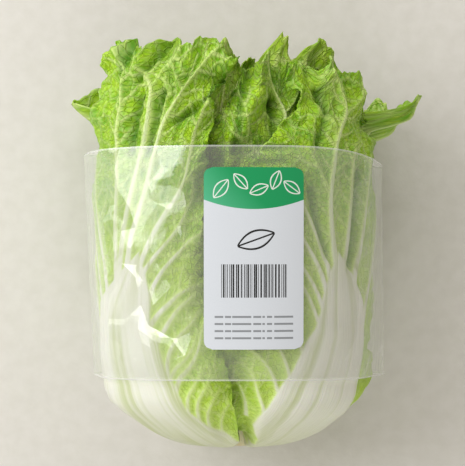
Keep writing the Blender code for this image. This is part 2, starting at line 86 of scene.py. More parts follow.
# %% The outline and the cross section
def eased(x):
    """0 below 0, 1 above 1 and a smooth S between."""
    x = np.clip(x, 0.0, 1.0)
    return x * x * (3.0 - 2.0 * x)


def make_outline():
    turn = np.linspace(0.0, math.pi / 2, 90)
    foot_width = LEAF_ROOT_RADIUS + (BELLY_HALF_WIDTH - LEAF_ROOT_RADIUS) * np.sin(turn) ** (2 / FOOT_POWER)
    foot_height = FOOT_HEIGHT * (1 - np.cos(turn) ** (2 / FOOT_POWER))
    side_height = np.linspace(FOOT_HEIGHT, TIP_HEIGHT + 0.03, 130)[1:]
    swell = (side_height - FOOT_HEIGHT) / (SHOULDER_HEIGHT - FOOT_HEIGHT)
    narrowing = np.clip((side_height - SHOULDER_HEIGHT) / (TIP_HEIGHT - SHOULDER_HEIGHT), 0, 2)
    side_width = (BELLY_HALF_WIDTH + (SHOULDER_HALF_WIDTH - BELLY_HALF_WIDTH) * eased(swell)
                  - (SHOULDER_HALF_WIDTH - TIP_HALF_WIDTH) * narrowing ** 1.6)
    width = np.concatenate([foot_width, side_width])
    height = np.concatenate([foot_height, side_height])
    distance = np.concatenate([[0.0], np.cumsum(np.hypot(np.diff(width), np.diff(height)))])
    across, along = np.gradient(height, distance), -np.gradient(width, distance)
    size = np.hypot(across, along)
    return distance, width, height, across / size, along / size


def film_droop(angle):
    return np.where(np.cos(angle) < 0, *FILM_DROOPS) * np.cos(angle) ** 6


def section_radius(angle, half_width):
    half_height = LEAF_ROOT_RADIUS + (half_width - LEAF_ROOT_RADIUS) * HEIGHT_SHARE
    radius = (np.abs(np.cos(angle) / half_width) ** SECTION_POWER
              + np.abs(np.sin(angle) / half_height) ** SECTION_POWER) ** (-1 / SECTION_POWER)
    to_flat = FLAT_DEPTH / np.maximum(-np.sin(angle), 1e-3)
    return (radius ** -FLAT_SHARPNESS + to_flat ** -FLAT_SHARPNESS) ** (-1 / FLAT_SHARPNESS)


OUTLINE = make_outline()
BAND_END = float(np.interp(FILM_HIGH, OUTLINE[2], OUTLINE[0]))
BAND_START = float(np.interp(FILM_LOW, OUTLINE[2], OUTLINE[0]))
print("outline is", round(1000 * OUTLINE[0][-1]), "mm long, the band covers",
      round(1000 * BAND_START), "to", round(1000 * BAND_END))

# %% [markdown]
# ## The film's loop, and how the head fills it
#
# The band's cross section is the shortest loop round the leaves and its two folded sides, which is a convex
# hull. The head was pressed into that loop, so the leaves bulge most of the way into the folds. That bulge
# is part of the surface that everything else is laid on.

# %% The loop that the film follows
def convex_hull(points):
    points = sorted(set(map(tuple, points)))

    def half(run):
        kept = []
        for p in run:
            while len(kept) > 1 and ((kept[-1][0] - kept[-2][0]) * (p[1] - kept[-2][1])
                                     - (kept[-1][1] - kept[-2][1]) * (p[0] - kept[-2][0])) <= 0:
                kept.pop()
            kept.append(p)
        return kept[:-1]

    return np.array(half(points) + half(points[::-1]))


def film_loop(y):
    """Inner radius of the film at height y, at 720 angles."""
    share = (y - FILM_LOW) / (FILM_HIGH - FILM_LOW)
    around = np.radians(np.arange(0, 360, 2))
    radius = section_radius(around, np.interp(y, OUTLINE[2], OUTLINE[1])) + FILM_GAP
    points = np.stack([radius * np.cos(around), radius * np.sin(around)], axis=-1)
    folds = [(-CREASE_LEFT[0] - share * (CREASE_LEFT[1] - CREASE_LEFT[0]), -CREASE_DROP),
             (CREASE_RIGHT[0] + share * (CREASE_RIGHT[1] - CREASE_RIGHT[0]), -CREASE_DROP)]
    hull = convex_hull(np.concatenate([points, folds]))
    angle = np.radians(np.arange(0, 360, 0.5))
    found = np.zeros_like(angle)
    for (x0, z0), (x1, z1) in zip(hull, np.roll(hull, -1, axis=0)):
        cross = np.cos(angle) * (z1 - z0) - np.sin(angle) * (x1 - x0)
        with np.errstate(divide="ignore", invalid="ignore"):
            reach = (x0 * (z1 - z0) - z0 * (x1 - x0)) / cross
            place = (x0 * np.sin(angle) - z0 * np.cos(angle)) / cross
        hit = (place >= -1e-9) & (place <= 1 + 1e-9) & (reach > 0)
        found = np.where(hit, np.maximum(found, reach), found)
    return np.minimum(found, (AXIS_HEIGHT - FILM_THICKNESS) / np.maximum(-np.sin(angle), 1e-3))


FILM_HEIGHTS = np.linspace(FILM_LOW - 0.002, FILM_HIGH + 0.002, 26)
FILM_LOOPS = np.array([film_loop(y) for y in FILM_HEIGHTS])


def film_radius(angle, y):
    row = np.clip((y - FILM_HEIGHTS[0]) / (FILM_HEIGHTS[1] - FILM_HEIGHTS[0]), 0, len(FILM_HEIGHTS) - 1.001)
    column = (np.degrees(angle) % 360) * 2
    i, j = np.floor(row).astype(int), np.floor(column).astype(int)
    di, dj = row - i, column - j
    j0, j1 = j % 720, (j + 1) % 720
    low = FILM_LOOPS[i, j0] * (1 - dj) + FILM_LOOPS[i, j1] * dj
    high = FILM_LOOPS[i + 1, j0] * (1 - dj) + FILM_LOOPS[i + 1, j1] * dj
    return low * (1 - di) + high * di


# %% A point on the head
BULGE_SHARE = 0.85
BULGE_FADE = 0.035


def bulge(angle, distance):
    """How far the head stands out into the film's folds, in metres."""
    y, half_width = np.interp(distance, OUTLINE[0], OUTLINE[2]), np.interp(distance, OUTLINE[0], OUTLINE[1])
    room = film_radius(angle, y) - FILM_GAP - section_radius(angle, half_width)
    fade = eased(1 - np.maximum(FILM_LOW - y, y - FILM_HIGH) / BULGE_FADE)
    return BULGE_SHARE * np.clip(room, 0, 0.012) * fade


def ring_points(angle, radius, y):
    """Points at an angle and a radius round the head's axis, y above the stump's cut face."""
    return np.stack([radius * np.cos(angle), y - HEAD_MIDDLE, AXIS_HEIGHT + radius * np.sin(angle)], axis=-1)


def on_head(angle, distance, depth):
    along, width, height, out_across, out_along = OUTLINE
    radius = section_radius(angle, np.interp(distance, along, width))
    radius = radius - depth * np.interp(distance, along, out_across) + bulge(angle, distance)
    y = np.interp(distance, along, height) - depth * np.interp(distance, along, out_along)
    return ring_points(angle, radius, y)


# %% [markdown]
# ## The depth field
#
# In a real head each leaf lies on the ones below it, so what is seen is a stack. Here the stack is built
# from the outside in: a grid over the head keeps how deep the leaves so far reach, and the next leaf lies
# just below that. The grid is spread and smoothed, so a leaf dives gently under its neighbour's edge.

# %% The depth field
FIELD_ANGLES, FIELD_STEPS, FIELD_LENGTH = 180, 122, 0.366
SPREAD_CELLS, SMOOTH_PASSES = 4, 4


class DepthField:
    def __init__(self):
        self.depth = np.zeros((FIELD_ANGLES, FIELD_STEPS))
        self.smooth = self.depth

    def cells(self, angle, distance):
        return (np.degrees(angle) % 360) * FIELD_ANGLES / 360, distance / FIELD_LENGTH * (FIELD_STEPS - 1)

    def add(self, angle, distance, depth):
        i, j = self.cells(angle, distance)
        i = np.round(i).astype(int) % FIELD_ANGLES
        j = np.clip(np.round(j).astype(int), 0, FIELD_STEPS - 1)
        np.maximum.at(self.depth, (i, j), depth)
        wide = self.depth
        for _ in range(SPREAD_CELLS):
            wide = np.maximum.reduce([wide, np.roll(wide, 1, 0), np.roll(wide, -1, 0)])
            padded = np.pad(wide, ((0, 0), (1, 1)))
            wide = np.maximum.reduce([padded[:, :-2], wide, padded[:, 2:]])
        for _ in range(SMOOTH_PASSES):
            wide = (np.roll(wide, 1, 0) + 2 * wide + np.roll(wide, -1, 0)) / 4
            padded = np.pad(wide, ((0, 0), (1, 1)), mode="edge")
            wide = (padded[:, :-2] + 2 * wide + padded[:, 2:]) / 4
        self.smooth = np.maximum(wide, self.depth)

    def under(self, angle, distance):
        i, j = self.cells(angle, distance)
        i0 = np.floor(i).astype(int)
        j0 = np.clip(np.floor(j).astype(int), 0, FIELD_STEPS - 2)
        di, dj = i - i0, np.clip(j - j0, 0, 1)
        i0, i1 = i0 % FIELD_ANGLES, (i0 + 1) % FIELD_ANGLES
        low = self.smooth[i0, j0] * (1 - di) + self.smooth[i1, j0] * di
        high = self.smooth[i0, j0 + 1] * (1 - di) + self.smooth[i1, j0 + 1] * di
        return low * (1 - dj) + high * dj


FIELD = DepthField()

# %% [markdown]
# ## Patterns that a leaf needs
#
# Napa leaves are wrinkled in a net: thick veins run off the midrib, thinner ones join them, and the skin
# between them puffs up. Three small patterns give all of that: smooth noise, the walls between scattered
# seeds, and the distance to a drawn line.


# %% Noise, cell walls and distance to lines
def noise(x, y, seed):
    """Smooth noise from -1 to 1, one unit from hill to hill."""
    table = np.random.default_rng(seed).uniform(-1, 1, (64, 64))
    i, j = np.floor(x).astype(int), np.floor(y).astype(int)
    u, v = eased(x - i), eased(y - j)
    i0, i1, j0, j1 = i % 64, (i + 1) % 64, j % 64, (j + 1) % 64
    low = table[i0, j0] * (1 - u) + table[i1, j0] * u
    high = table[i0, j1] * (1 - u) + table[i1, j1] * u
    return low * (1 - v) + high * v


def cell_walls(x, y, seed):
    """Distance to the nearest wall between scattered seeds, about one seed in each unit square."""
    shift = np.random.default_rng(seed).uniform(0.1, 0.9, (64, 64, 2))
    i, j = np.floor(x).astype(int), np.floor(y).astype(int)
    near = np.full((2,) + x.shape, 9.0)
    for di in (-1, 0, 1):
        for dj in (-1, 0, 1):
            seed_x = i + di + shift[(i + di) % 64, (j + dj) % 64, 0]
            seed_y = j + dj + shift[(i + di) % 64, (j + dj) % 64, 1]
            away = np.hypot(x - seed_x, y - seed_y)
            near[1] = np.minimum(near[1], np.maximum(near[0], away))
            near[0] = np.minimum(near[0], away)
    return (near[1] - near[0]) / 2


def line_distance(x, y, lines):
    """Distance to the nearest of lines of (x, y, half width) less its half width, and that half width."""
    found, width = np.full(x.shape, 1.0), np.zeros(x.shape)
    for line in lines:
        for (x0, y0, w0), (x1, y1, w1) in zip(line, line[1:]):
            dx, dy = x1 - x0, y1 - y0
            share = np.clip(((x - x0) * dx + (y - y0) * dy) / (dx * dx + dy * dy + 1e-12), 0, 1)
            half = w0 + share * (w1 - w0)
            away = np.hypot(x - x0 - share * dx, y - y0 - share * dy) - half
            width = np.where(away < found, half, width)
            found = np.minimum(found, away)
    return found, width


# %% [markdown]
# ## The leaves
#
# Each leaf is a table of a few numbers: where its midrib runs, how far its two edges reach round the head,
# how long it is and how much it ruffles. "white" is how far the white part reaches to either side. "veins"
# are the thick ones, drawn on the flat leaf in millimetres: first the half width at the start and at the
# end, then the points. The leaves that are hidden share one simple fan of veins.

# %% The table of leaves
BLADE_THICKNESS = 0.0010
LEAF_GAP = 0.0011
BLADE_STEP = 0.0026
VEIN_SLANT = 0.062
FREE_START = 0.005
COVERED_RUFFLE = 0.25
STATIONS = (0.0, 0.2, 0.4, 0.6, 0.8, 1.0)
RIB_HALF_WIDTHS = (0.012, 0.040, 0.035, 0.019, 0.008, 0.003)
RIB_THICKNESSES = (0.0085, 0.0095, 0.0075, 0.0045, 0.0022, 0.0008)
WHITE_STATIONS = (0, 42, 60, 78, 101, 125, 155, 178, 200)
PLAIN_WHITE = ((30, 32, 34, 34, 32, 28, 20, 8, -6), (30, 32, 34, 34, 32, 28, 20, 8, -6))
PLAIN_VEINS = (
    (3.0, 1.2, (14, 120), (15, 160), (19, 200), (24, 240), (28, 280), (27, 330)),
    (3.2, 1.2, (7, 130), (6, 180), (7, 215), (10, 250), (12, 290), (10, 340)),
    (3.4, 1.4, (-1, 130), (-2, 190), (-1, 240), (-3, 280), (0, 345)),
    (3.2, 1.2, (-8, 130), (-8, 175), (-10, 220), (-15, 260), (-16, 300), (-15, 340)),
    (3.0, 1.2, (-15, 120), (-18, 165), (-24, 205), (-29, 245), (-33, 300)),
)
LEFT_WHITE = ((38, 50, 60, 66, 66, 60, 44, 16, -6), (30, 31, 24, 19, 16, 14, 12, 5, -6))
LEFT_VEINS = (
    (3.0, 1.3, (20, 150), (17, 185), (14, 215), (12, 235), (9, 262), (8, 288), (9, 305), (15, 314),
     (22, 326)),
    (1.2, 0.7, (9, 305), (4, 317), (-3, 326), (-6, 340)),
    (3.0, 1.1, (12, 150), (10, 193), (5, 215), (1, 237), (0, 258), (-3, 281), (-8, 294), (-16, 306),
     (-27, 320), (-35, 336)),
    (1.2, 0.7, (-16, 306), (-10, 317), (-3, 326)),
    (1.0, 0.5, (-3, 281), (-3, 300), (1, 315)),
    (3.0, 1.2, (5, 150), (3, 173), (-1, 186), (-9, 203), (-17, 216), (-28, 230), (-34, 242), (-33, 258),
     (-32, 272), (-34, 285), (-38, 300)),
    (1.2, 0.5, (-35, 243), (-42, 250), (-50, 256)),
    (2.4, 0.8, (0, 150), (-2, 176), (-10, 187), (-20, 197), (-30, 207), (-38, 222), (-44, 238)),
    (2.4, 0.8, (-6, 145), (-10, 164), (-18, 178), (-30, 190), (-41, 201), (-52, 206)),
    (2.2, 0.7, (-7, 128), (-10, 140), (-17, 149), (-26, 157), (-34, 165), (-46, 170)),
    (2.0, 0.7, (-8, 112), (-10, 125), (-16, 134), (-26, 148), (-33, 156), (-42, 164)),
    (1.8, 0.6, (-13, 98), (-15, 110), (-19, 123), (-27, 134), (-36, 143), (-42, 153)),
    (1.5, 0.5, (-13, 100), (-20, 111), (-29, 118), (-35, 127), (-39, 137)),
    (1.8, 0.6, (-14, 90), (-20, 103), (-28, 110), (-35, 119), (-40, 132), (-44, 144)),
    (1.5, 0.5, (-17, 76), (-22, 90), (-29, 99), (-38, 110)),
    (1.5, 0.5, (-20, 68), (-26, 84), (-33, 94), (-44, 106)),
    (1.4, 0.5, (-22, 58), (-28, 74), (-35, 84), (-44, 94)),
    (1.2, 0.5, (-25, 48), (-31, 62), (-38, 72), (-46, 80)),
    (2.6, 1.1, (28, 150), (34, 182), (43, 206), (50, 228), (55, 262)),
    (2.4, 1.0, (20, 160), (22, 201), (24, 232), (28, 259), (32, 280), (29, 300), (31, 318), (44, 334)),
    (2.4, 0.8, (36, 145), (45, 175), (56, 205), (70, 235)),
    (2.6, 0.9, (48, 130), (58, 160), (70, 190), (84, 225)),
)
RIGHT_WHITE = ((4, 18, 34, 41, 35, 28, 16, 8, -6), (30, 30, 31, 32, 31, 30, 26, 12, -6))
RIGHT_VEINS = (
    (3.0, 1.3, (1, 140), (1, 175), (5, 204), (6, 222), (5, 237), (1, 254), (-3, 275), (-10, 291),
     (-9, 304), (2, 316)),
    (1.4, 0.7, (-10, 291), (-17, 299), (-28, 304)),
    (1.1, 0.5, (-3, 275), (4, 286), (12, 296)),
    (1.1, 0.5, (5, 235), (12, 248), (20, 262)),
    (1.0, 0.5, (4, 244), (-6, 253), (-20, 259)),
    (2.6, 1.1, (5, 150), (8, 178), (13, 192), (20, 209), (29, 226), (36, 246)),
    (2.4, 0.9, (8, 145), (13, 174), (22, 191), (32, 206), (44, 224)),
    (2.0, 0.8, (11, 140), (17, 161), (24, 174), (36, 190), (48, 206)),
    (1.8, 0.7, (15, 132), (22, 154), (29, 168), (44, 186)),
    (2.6, 1.2, (-4, 150), (-4, 178), (-8, 200), (-12, 225), (-14, 250), (-19, 268)),
    (2.8, 1.1, (-12, 150), (-15, 178), (-22, 195), (-26, 212), (-31, 234), (-38, 262)),
    (2.8, 1.0, (-24, 140), (-33, 165), (-44, 182), (-52, 205), (-60, 235)),
    (1.5, 0.5, (25, 118), (31, 130), (40, 146), (52, 158)),
    (1.5, 0.5, (31, 104), (38, 117), (46, 130), (58, 142)),
    (1.5, 0.5, (35, 92), (44, 107), (55, 119), (66, 127)),
    (1.4, 0.5, (39, 78), (50, 93), (57, 106), (68, 114)),
    (1.4, 0.5, (41, 64), (51, 79), (64, 93), (74, 98)),
    (1.2, 0.5, (40, 50), (54, 66), (68, 76)),
)
MIDDLE_VEINS = (
    (3.0, 1.4, (-14, 150), (-18, 210), (-17, 255), (-13, 268), (-13, 283), (-15, 296),
     (-6, 308), (1, 317), (4, 332)),
    (1.5, 0.7, (-15, 296), (-25, 303), (-30, 314), (-31, 330)),
    (2.0, 0.9, (-8, 215), (-1, 253), (9, 262), (20, 270), (34, 277)),
    (1.2, 0.7, (20, 270), (20, 280), (22, 290), (31, 314)),
    (1.0, 0.5, (22, 290), (12, 296), (3, 301)),
    (1.0, 0.5, (22, 290), (33, 289), (45, 288)),
    (1.2, 0.6, (-17, 250), (-28, 262), (-38, 280)),
    (1.0, 0.5, (-14, 290), (-4, 286), (6, 290)),
    (1.0, 0.5, (-13, 275), (-22, 284), (-34, 288)),
    (1.0, 0.5, (34, 277), (42, 286), (50, 300)),
)
LEAVES = (
    {"name": "leaf_front_left", "length": 0.341, "drop": (0.00, 0.02), "ruffle": 0.0050, "turn": 0.4,
     "middle": (118, 128, 138, 134, 126, 121), "high": (44, 60, 66, 60, 42, 33),
     "low": (36, 34, 32, 30, 24, 33),
     "flare": (3, 4, 11), "sink": 0, "grid": (230, 170),
     "white": LEFT_WHITE, "veins": LEFT_VEINS, "blister": 0.1,
     "folds": (((37, 310), (35, 342)), ((20, 316), (8, 338)), ((5, 262), (4, 285), (1, 303)),
               ((-14, 285), (-26, 290), (-36, 300), (-44, 320)), ((19, 262), (20, 285), (18, 300)))},
    {"name": "leaf_front_right", "length": 0.327, "drop": (0.01, 0.09), "ruffle": 0.0040, "turn": 1.7,
     "middle": (60, 46, 38, 41, 44, 42), "high": (48, 58, 62, 38, 15, 20),
     "low": (40, 60, 62, 56, 32, 27),
     "flare": (2, 3, 2), "sink": 0, "grid": (230, 170),
     "white": RIGHT_WHITE, "veins": RIGHT_VEINS, "blister": 0.2,
     "folds": (((-10, 180), (-16, 200), (-19, 225), (-24, 250)), ((10, 190), (16, 212), (20, 235)),
               ((12, 268), (6, 285), (8, 310)))},
    {"name": "leaf_side_right", "length": 0.300, "drop": (0.05, 0.05), "ruffle": 0.0050, "turn": 3.3,
     "middle": (10, 4, 0, -6, -18, -22), "high": (42, 46, 46, 38, 30, 36),
     "low": (42, 46, 46, 42, 30, 24),
     "flare": (0, 26, 42), "bend": 0.6, "sink": 0, "grid": (150, 110)},
    {"name": "leaf_back_left", "length": 0.306, "drop": (0.13, 0.06), "ruffle": 0.0075, "turn": 4.1,
     "middle": (218, 222, 224, 224, 222, 220), "high": (40, 48, 48, 47, 42, 34),
     "low": (38, 44, 48, 48, 44, 44),
     "flare": (50, 10, 0), "bend": 0.25, "sink": 0, "grid": (160, 120)},
    {"name": "leaf_back_right", "length": 0.314, "drop": (0.10, 0.13), "ruffle": 0.0040, "turn": 2.9,
     "middle": (322, 318, 316, 316, 316, 312), "high": (38, 44, 50, 52, 44, 30),
     "low": (42, 50, 48, 46, 40, 34),
     "flare": (0, 2, 2), "sink": 0, "grid": (140, 100)},
    {"name": "leaf_front_middle", "length": 0.332, "drop": (0.06, 0.03), "ruffle": 0.0040, "turn": 0.9,
     "middle": (92, 90, 84, 77, 71, 69), "high": (40, 44, 40, 36, 34, 20),
     "low": (40, 44, 46, 44, 38, 30),
     "flare": (0, 4, 4), "sink": 2, "grid": (200, 130), "veins": MIDDLE_VEINS, "blister": 1.0,
     "folds": (((-6, 262), (-5, 285), (-2, 300)), ((30, 262), (28, 300), (20, 322)))},
    {"name": "leaf_side_left", "length": 0.326, "drop": (0.06, 0.04), "ruffle": 0.0040, "turn": 5.0,
     "middle": (176, 174, 172, 170, 166, 164), "high": (42, 46, 48, 46, 36, 26),
     "low": (42, 46, 46, 44, 34, 26),
     "flare": (0, 0, 8), "sink": 2, "grid": (140, 100)},
    {"name": "leaf_back_middle", "length": 0.326, "drop": (0.12, 0.12), "ruffle": 0.0040, "turn": 2.2,
     "middle": (272, 270, 268, 268, 268, 268), "high": (40, 46, 50, 48, 42, 32),
     "low": (40, 46, 50, 48, 42, 32),
     "flare": (0, 0, 0), "sink": 4, "grid": (110, 80)},
    {"name": "leaf_inner_left", "length": 0.342, "drop": (0.08, 0.02), "ruffle": 0.0050, "turn": 3.9,
     "middle": (134, 130, 124, 118, 112, 106), "high": (40, 52, 60, 60, 54, 44),
     "low": (40, 50, 52, 50, 44, 36),
     "flare": (0, 2, 2), "sink": 3, "grid": (124, 96)},
    {"name": "leaf_inner_right", "length": 0.346, "drop": (0.04, 0.10), "ruffle": 0.0070, "turn": 5.3,
     "middle": (22, 28, 34, 42, 48, 50), "high": (40, 50, 52, 48, 40, 30),
     "low": (40, 52, 58, 56, 50, 40),
     "flare": (0, 2, 2), "sink": 2, "grid": (124, 96)},
    {"name": "leaf_inner_back", "length": 0.322, "drop": (0.08, 0.08), "ruffle": 0.0040, "turn": 1.1,
     "middle": (262, 264, 266, 268, 270, 272), "high": (40, 50, 60, 62, 58, 48),
     "low": (40, 50, 60, 62, 58, 48),
     "flare": (0, 0, 0), "sink": 10, "grid": (110, 90)},
)

# %% [markdown]
# ## Veins
#
# A drawn vein has corners, so its corners are cut twice, which turns it into a smooth curve. Thin twigs
# then leave each thick vein by turns to either side and swing up towards the edge, as they do on the real
# leaf.


# %% Draw the veins of one leaf on its flat shape
def share_at(v, leaf, key):
    return np.interp(v, STATIONS, leaf[key])


def head_radius(distance):
    return 0.9 * np.interp(distance, OUTLINE[0], OUTLINE[1])


def cut_corners(points):
    points = np.array(points, dtype=float)
    for _ in range(2):
        near, far = points[:-1] * 0.75 + points[1:] * 0.25, points[:-1] * 0.25 + points[1:] * 0.75
        points = np.concatenate([points[:1], np.stack([near, far], axis=1).reshape(-1, 2), points[-1:]])
    return points


def thick_veins(leaf):
    lines = []
    for first, last, *points in leaf.get("veins", PLAIN_VEINS):
        curve = cut_corners(points) / 1000
        half = (last + (first - last) * np.linspace(1, 0, len(curve)) ** 0.8) / 1000
        half = half * np.interp(curve[:, 1], (0.16, 0.23, 0.32), (1.0, 0.72, 0.5))
        lines.append([(x, y, w) for (x, y), w in zip(curve, half)])
    return lines


def fold_lines(leaf):
    """Valleys that the leaf is folded along, drawn like its veins."""
    return [[(x / 1000, y / 1000, 0.0) for x, y in points] for points in leaf.get("folds", ())]


def twigs(leaf, lines):
    rng = np.random.default_rng(int(100 * leaf["turn"]))
    found = []
    for line in lines:
        place = np.array(line)
        step = np.hypot(*np.diff(place[:, :2], axis=0).T)
        run = np.concatenate([[0], np.cumsum(step)])
        side = 1 if rng.random() < 0.5 else -1
        for start in np.arange(0.020, run[-1], 0.008) + rng.uniform(-0.0015, 0.0015):
            x, y = np.interp(start, run, place[:, 0]), np.interp(start, run, place[:, 1])
            k = np.clip(np.searchsorted(run, start), 1, len(run) - 1)
            ahead = math.atan2(place[k, 0] - place[k - 1, 0], place[k, 1] - place[k - 1, 1])
            turn = ahead + side * rng.uniform(0.75, 1.05)
            reach = rng.uniform(0.013, 0.021)
            curve = []
            for q in np.linspace(0, 1, 6):
                curve.append((x, y, 0.0008 * (1 - q) + 0.0002))
                x += math.sin(turn) * reach / 5
                y += math.cos(turn) * reach / 5
                turn -= side * 0.10
            found.append(curve)
            side = -side
    return found


# %% [markdown]
# ## Laying a leaf on the head
# A flat grid is added with one operator, its corners are moved onto the head, and a Solidify modifier gives
# it a back. The midrib is thick and the blade is thin, so the modifier takes its thickness from a vertex
# group. The same pass writes what the finish needs later: how white and how veined each spot is, and
# where painted shade and a painted highlight go on the blade.


# %% Work out the relief of a leaf
def leaf_relief(leaf, across, along, loose):
    """Marks for the finish, and how much deeper than the white part each spot of skin lies, in metres."""
    lines = thick_veins(leaf)
    strands, strand_width = line_distance(across, along, lines)
    small = line_distance(across, along, twigs(leaf, lines))[0]
    folds = line_distance(across, along, fold_lines(leaf))[0]
    fold = np.exp(-(np.maximum(folds, 0) / 0.0035) ** 2)
    high_white, low_white = leaf.get("white", PLAIN_WHITE)
    reach = np.where(across > 0, np.interp(along * 1000, WHITE_STATIONS, high_white),
                     np.interp(along * 1000, WHITE_STATIONS, low_white)) / 1000
    body = np.abs(across) - reach + 0.0012 * noise(along / 0.010, 0 * across, 3)
    seed = int(10 * leaf["turn"])
    bend_x = across + 0.004 * noise(across / 0.018, along / 0.018, seed)
    bend_y = along + 0.004 * noise(across / 0.018, along / 0.018, seed + 1)
    coarse = 0.013 * cell_walls(bend_x / 0.013, bend_y / 0.016, seed + 2)
    fine = 0.0055 * cell_walls(bend_x / 0.0055, bend_y / 0.0065, seed + 3)
    strand_white = (1 - eased((strands + 0.0012) / 0.0026)) * np.clip(strand_width / 0.0016, 0.25, 1)
    white = np.maximum(1 - eased((body + 0.0014) / 0.0028), strand_white)
    glow = np.exp(-np.maximum(body, 0) / 0.007) * 0.55
    vein = np.maximum(1 - eased((small + 0.0002) / 0.0010), 0.65 * (1 - eased((coarse - 0.0001) / 0.0009)))
    vein = np.maximum(vein, 0.30 * (1 - eased((fine - 0.0001) / 0.0007)))
    near = np.minimum(np.minimum(strands, body), np.minimum(small * 1.3 + 0.0004, coarse * 1.5))
    puff = 1 - np.exp(-np.maximum(near, 0) / 0.0028)
    valley = 1 - np.exp(-np.maximum(np.minimum(strands, body), 0) / 0.0060)
    dimple = 1 - np.exp(-np.maximum(fine, 0) / 0.0014)
    blister = leaf.get("blister", 0.5)
    net = (1 - blister) * puff + blister * (1 - puff)
    wrinkle = noise(bend_x / 0.007, bend_y / 0.009, seed + 4)
    wrinkle = wrinkle + 0.5 * noise(bend_x / 0.0035, bend_y / 0.0045, seed + 8)
    crumple = noise(bend_x / 0.016, bend_y / 0.021, seed + 7)
    fan = across / (np.maximum(reach, 0.004) + 0.010)
    streak = noise(fan * 7, along / 0.11, seed + 5) + 0.5 * noise(fan * 19, along / 0.09, seed + 6)
    blade = 1 - white
    relief = blade * (BLADE_STEP * (0.35 + 0.65 * valley) + 0.0012 * net + 0.0005 * dimple
                      + 0.0006 * valley * (wrinkle + 1)
                      + loose * (0.0030 * valley + 0.0012 * valley * wrinkle + 0.0036 * valley * crumple
                                 + 0.0014 * net))
    relief = relief + 0.00030 * (1 + streak / 1.5) * white + (0.0025 + 0.0030 * loose) * fold
    hills = np.clip(crumple + 0.6 * wrinkle, 0, 1)
    # Painted shade: the deep mark darkens the folds and the valleys between the strands, where shade would
    # fall.
    deep = np.clip(0.8 * fold + 0.5 * valley * hills * (0.35 + 0.65 * loose), 0, 1) * blade
    # The skin's distance from the veins carries painted shade next to the veins and a painted highlight on
    # the puffs.
    return {"white": white, "vein": vein * blade, "puff_shading": puff * blade, "glow": glow, "streak": streak,
            "deep": deep}, relief


def leaf_surface(leaf, u, s, field):
    v = 1.35 * u - 0.35 * u * u
    side = np.abs(s)
    reach = np.where(s > 0, share_at(v, leaf, "high"), share_at(v, leaf, "low"))
    drop = np.where(s > 0, leaf["drop"][0], leaf["drop"][1])
    turn = leaf["turn"]
    frill = 0.0026 * noise(11 * s + turn, 0 * s, 11) + 0.0016 * noise(31 * s + turn, 0 * s, 12)
    frill = frill * eased((v - 0.9) / 0.1)
    scallop = leaf["ruffle"] * np.sin(9 * s + turn) * eased((v - 0.7) / 0.3) + frill
    distance = v * leaf["length"] * (1 - drop * side ** 2.4)
    distance = distance + VEIN_SLANT * side ** 1.3 * np.sin(math.pi * v) + scallop
    bite = 0.026 * noise(42 * v + turn, 0 * v, 13) + 0.020 * noise(90 * v + turn, 0 * v, 14)
    swing = 0.05 * np.sin(19 * v + turn) * eased((v - 0.25) / 0.2)
    edge_wave = 1 + (swing + bite * eased((v - 0.1) / 0.1)) * side ** 3
    angle = np.radians(share_at(v, leaf, "middle") + s * reach * edge_wave)
    across = s * np.radians(reach) * head_radius(distance)
    along = distance - scallop
    rib = np.clip(1 - (across / np.interp(v, STATIONS, RIB_HALF_WIDTHS)) ** 2, 0, 1) ** 0.7
    over = field.under(angle, distance)
    covered = eased(over / 0.004)
    band = BAND_END + FREE_START - film_droop(angle)
    end = np.maximum(leaf["length"] * (1 - drop * side ** 2.4) + scallop, band + 0.010)
    free_end = np.clip((distance - band) / (end - band), 0, 1)
    tip_zone = eased((distance - band) / 0.025)
    foot_zone = eased((BAND_START - 0.006 - distance) / 0.015)
    marks, relief = leaf_relief(leaf, across, along, tip_zone)
    edge = np.clip((side - 0.5) / 0.5, 0, 1) ** 1.4
    top = np.clip((v - 0.80) / 0.20, 0, 1) ** 1.4
    wave = edge * np.sin(34 * v + 5 * s + turn) + top * np.sin(8.5 * s + 2 * turn)
    rim = np.clip((side - 0.66) / 0.34, 0, 1) ** 1.2 * eased((v - 0.06) / 0.1)
    crimp = (0.8 * np.sin(2 * math.pi * along / 0.015 + 3 * noise(along / 0.03, 0 * v, 15) + turn)
             + 0.7 * noise(along / 0.006, across / 0.02, 16)) * rim
    crown = 0.9 * noise(across / 0.010, along / 0.016, 17) * np.clip((v - 0.84) / 0.16, 0, 1)
    ruffle = leaf["ruffle"] * (1 - (1 - COVERED_RUFFLE) * covered) * (wave + (1 - tip_zone) * (edge + top))
    free_crimp = 0.0030 * (crimp + crown) * (1 - 0.8 * covered)
    ruffle = ruffle + free_crimp + (1 - np.maximum(tip_zone, foot_zone)) * np.abs(free_crimp)
    flare = 0.001 * np.interp(s, (-1, 0, 1), leaf["flare"]) * free_end ** leaf.get("bend", 0.75)
    depth = over + relief + ruffle + 0.001 * leaf["sink"] * free_end - flare * (1 - covered)
    loose_floor = 0.06 * (1 - covered) * np.maximum(tip_zone > 0, foot_zone > 0.5)
    depth = np.maximum(depth, over + LEAF_GAP * covered - loose_floor)
    thickness = BLADE_THICKNESS + np.interp(v, STATIONS, RIB_THICKNESSES) * rib
    marks["rim"] = np.maximum(np.clip((side - 0.80) / 0.20, 0, 1), np.clip((v - 0.88) / 0.12, 0, 1))
    return {"angle": angle, "distance": distance, "depth": depth, "thickness": thickness, "across": across,
            "along": along, "marks": marks}


# %% Make the leaf a mesh
def deselect():
    if bpy.context.mode != "OBJECT":
        bpy.ops.object.mode_set(mode="OBJECT")
    bpy.ops.object.select_all(action="DESELECT")


def set_points(mesh, points):
    mesh.vertices.foreach_set("co", np.ascontiguousarray(points, dtype=np.float32).ravel())
    mesh.update()


def get_points(mesh):
    points = np.empty(len(mesh.vertices) * 3, dtype=np.float32)
    mesh.vertices.foreach_get("co", points)
    return points.reshape(-1, 3).astype(float)


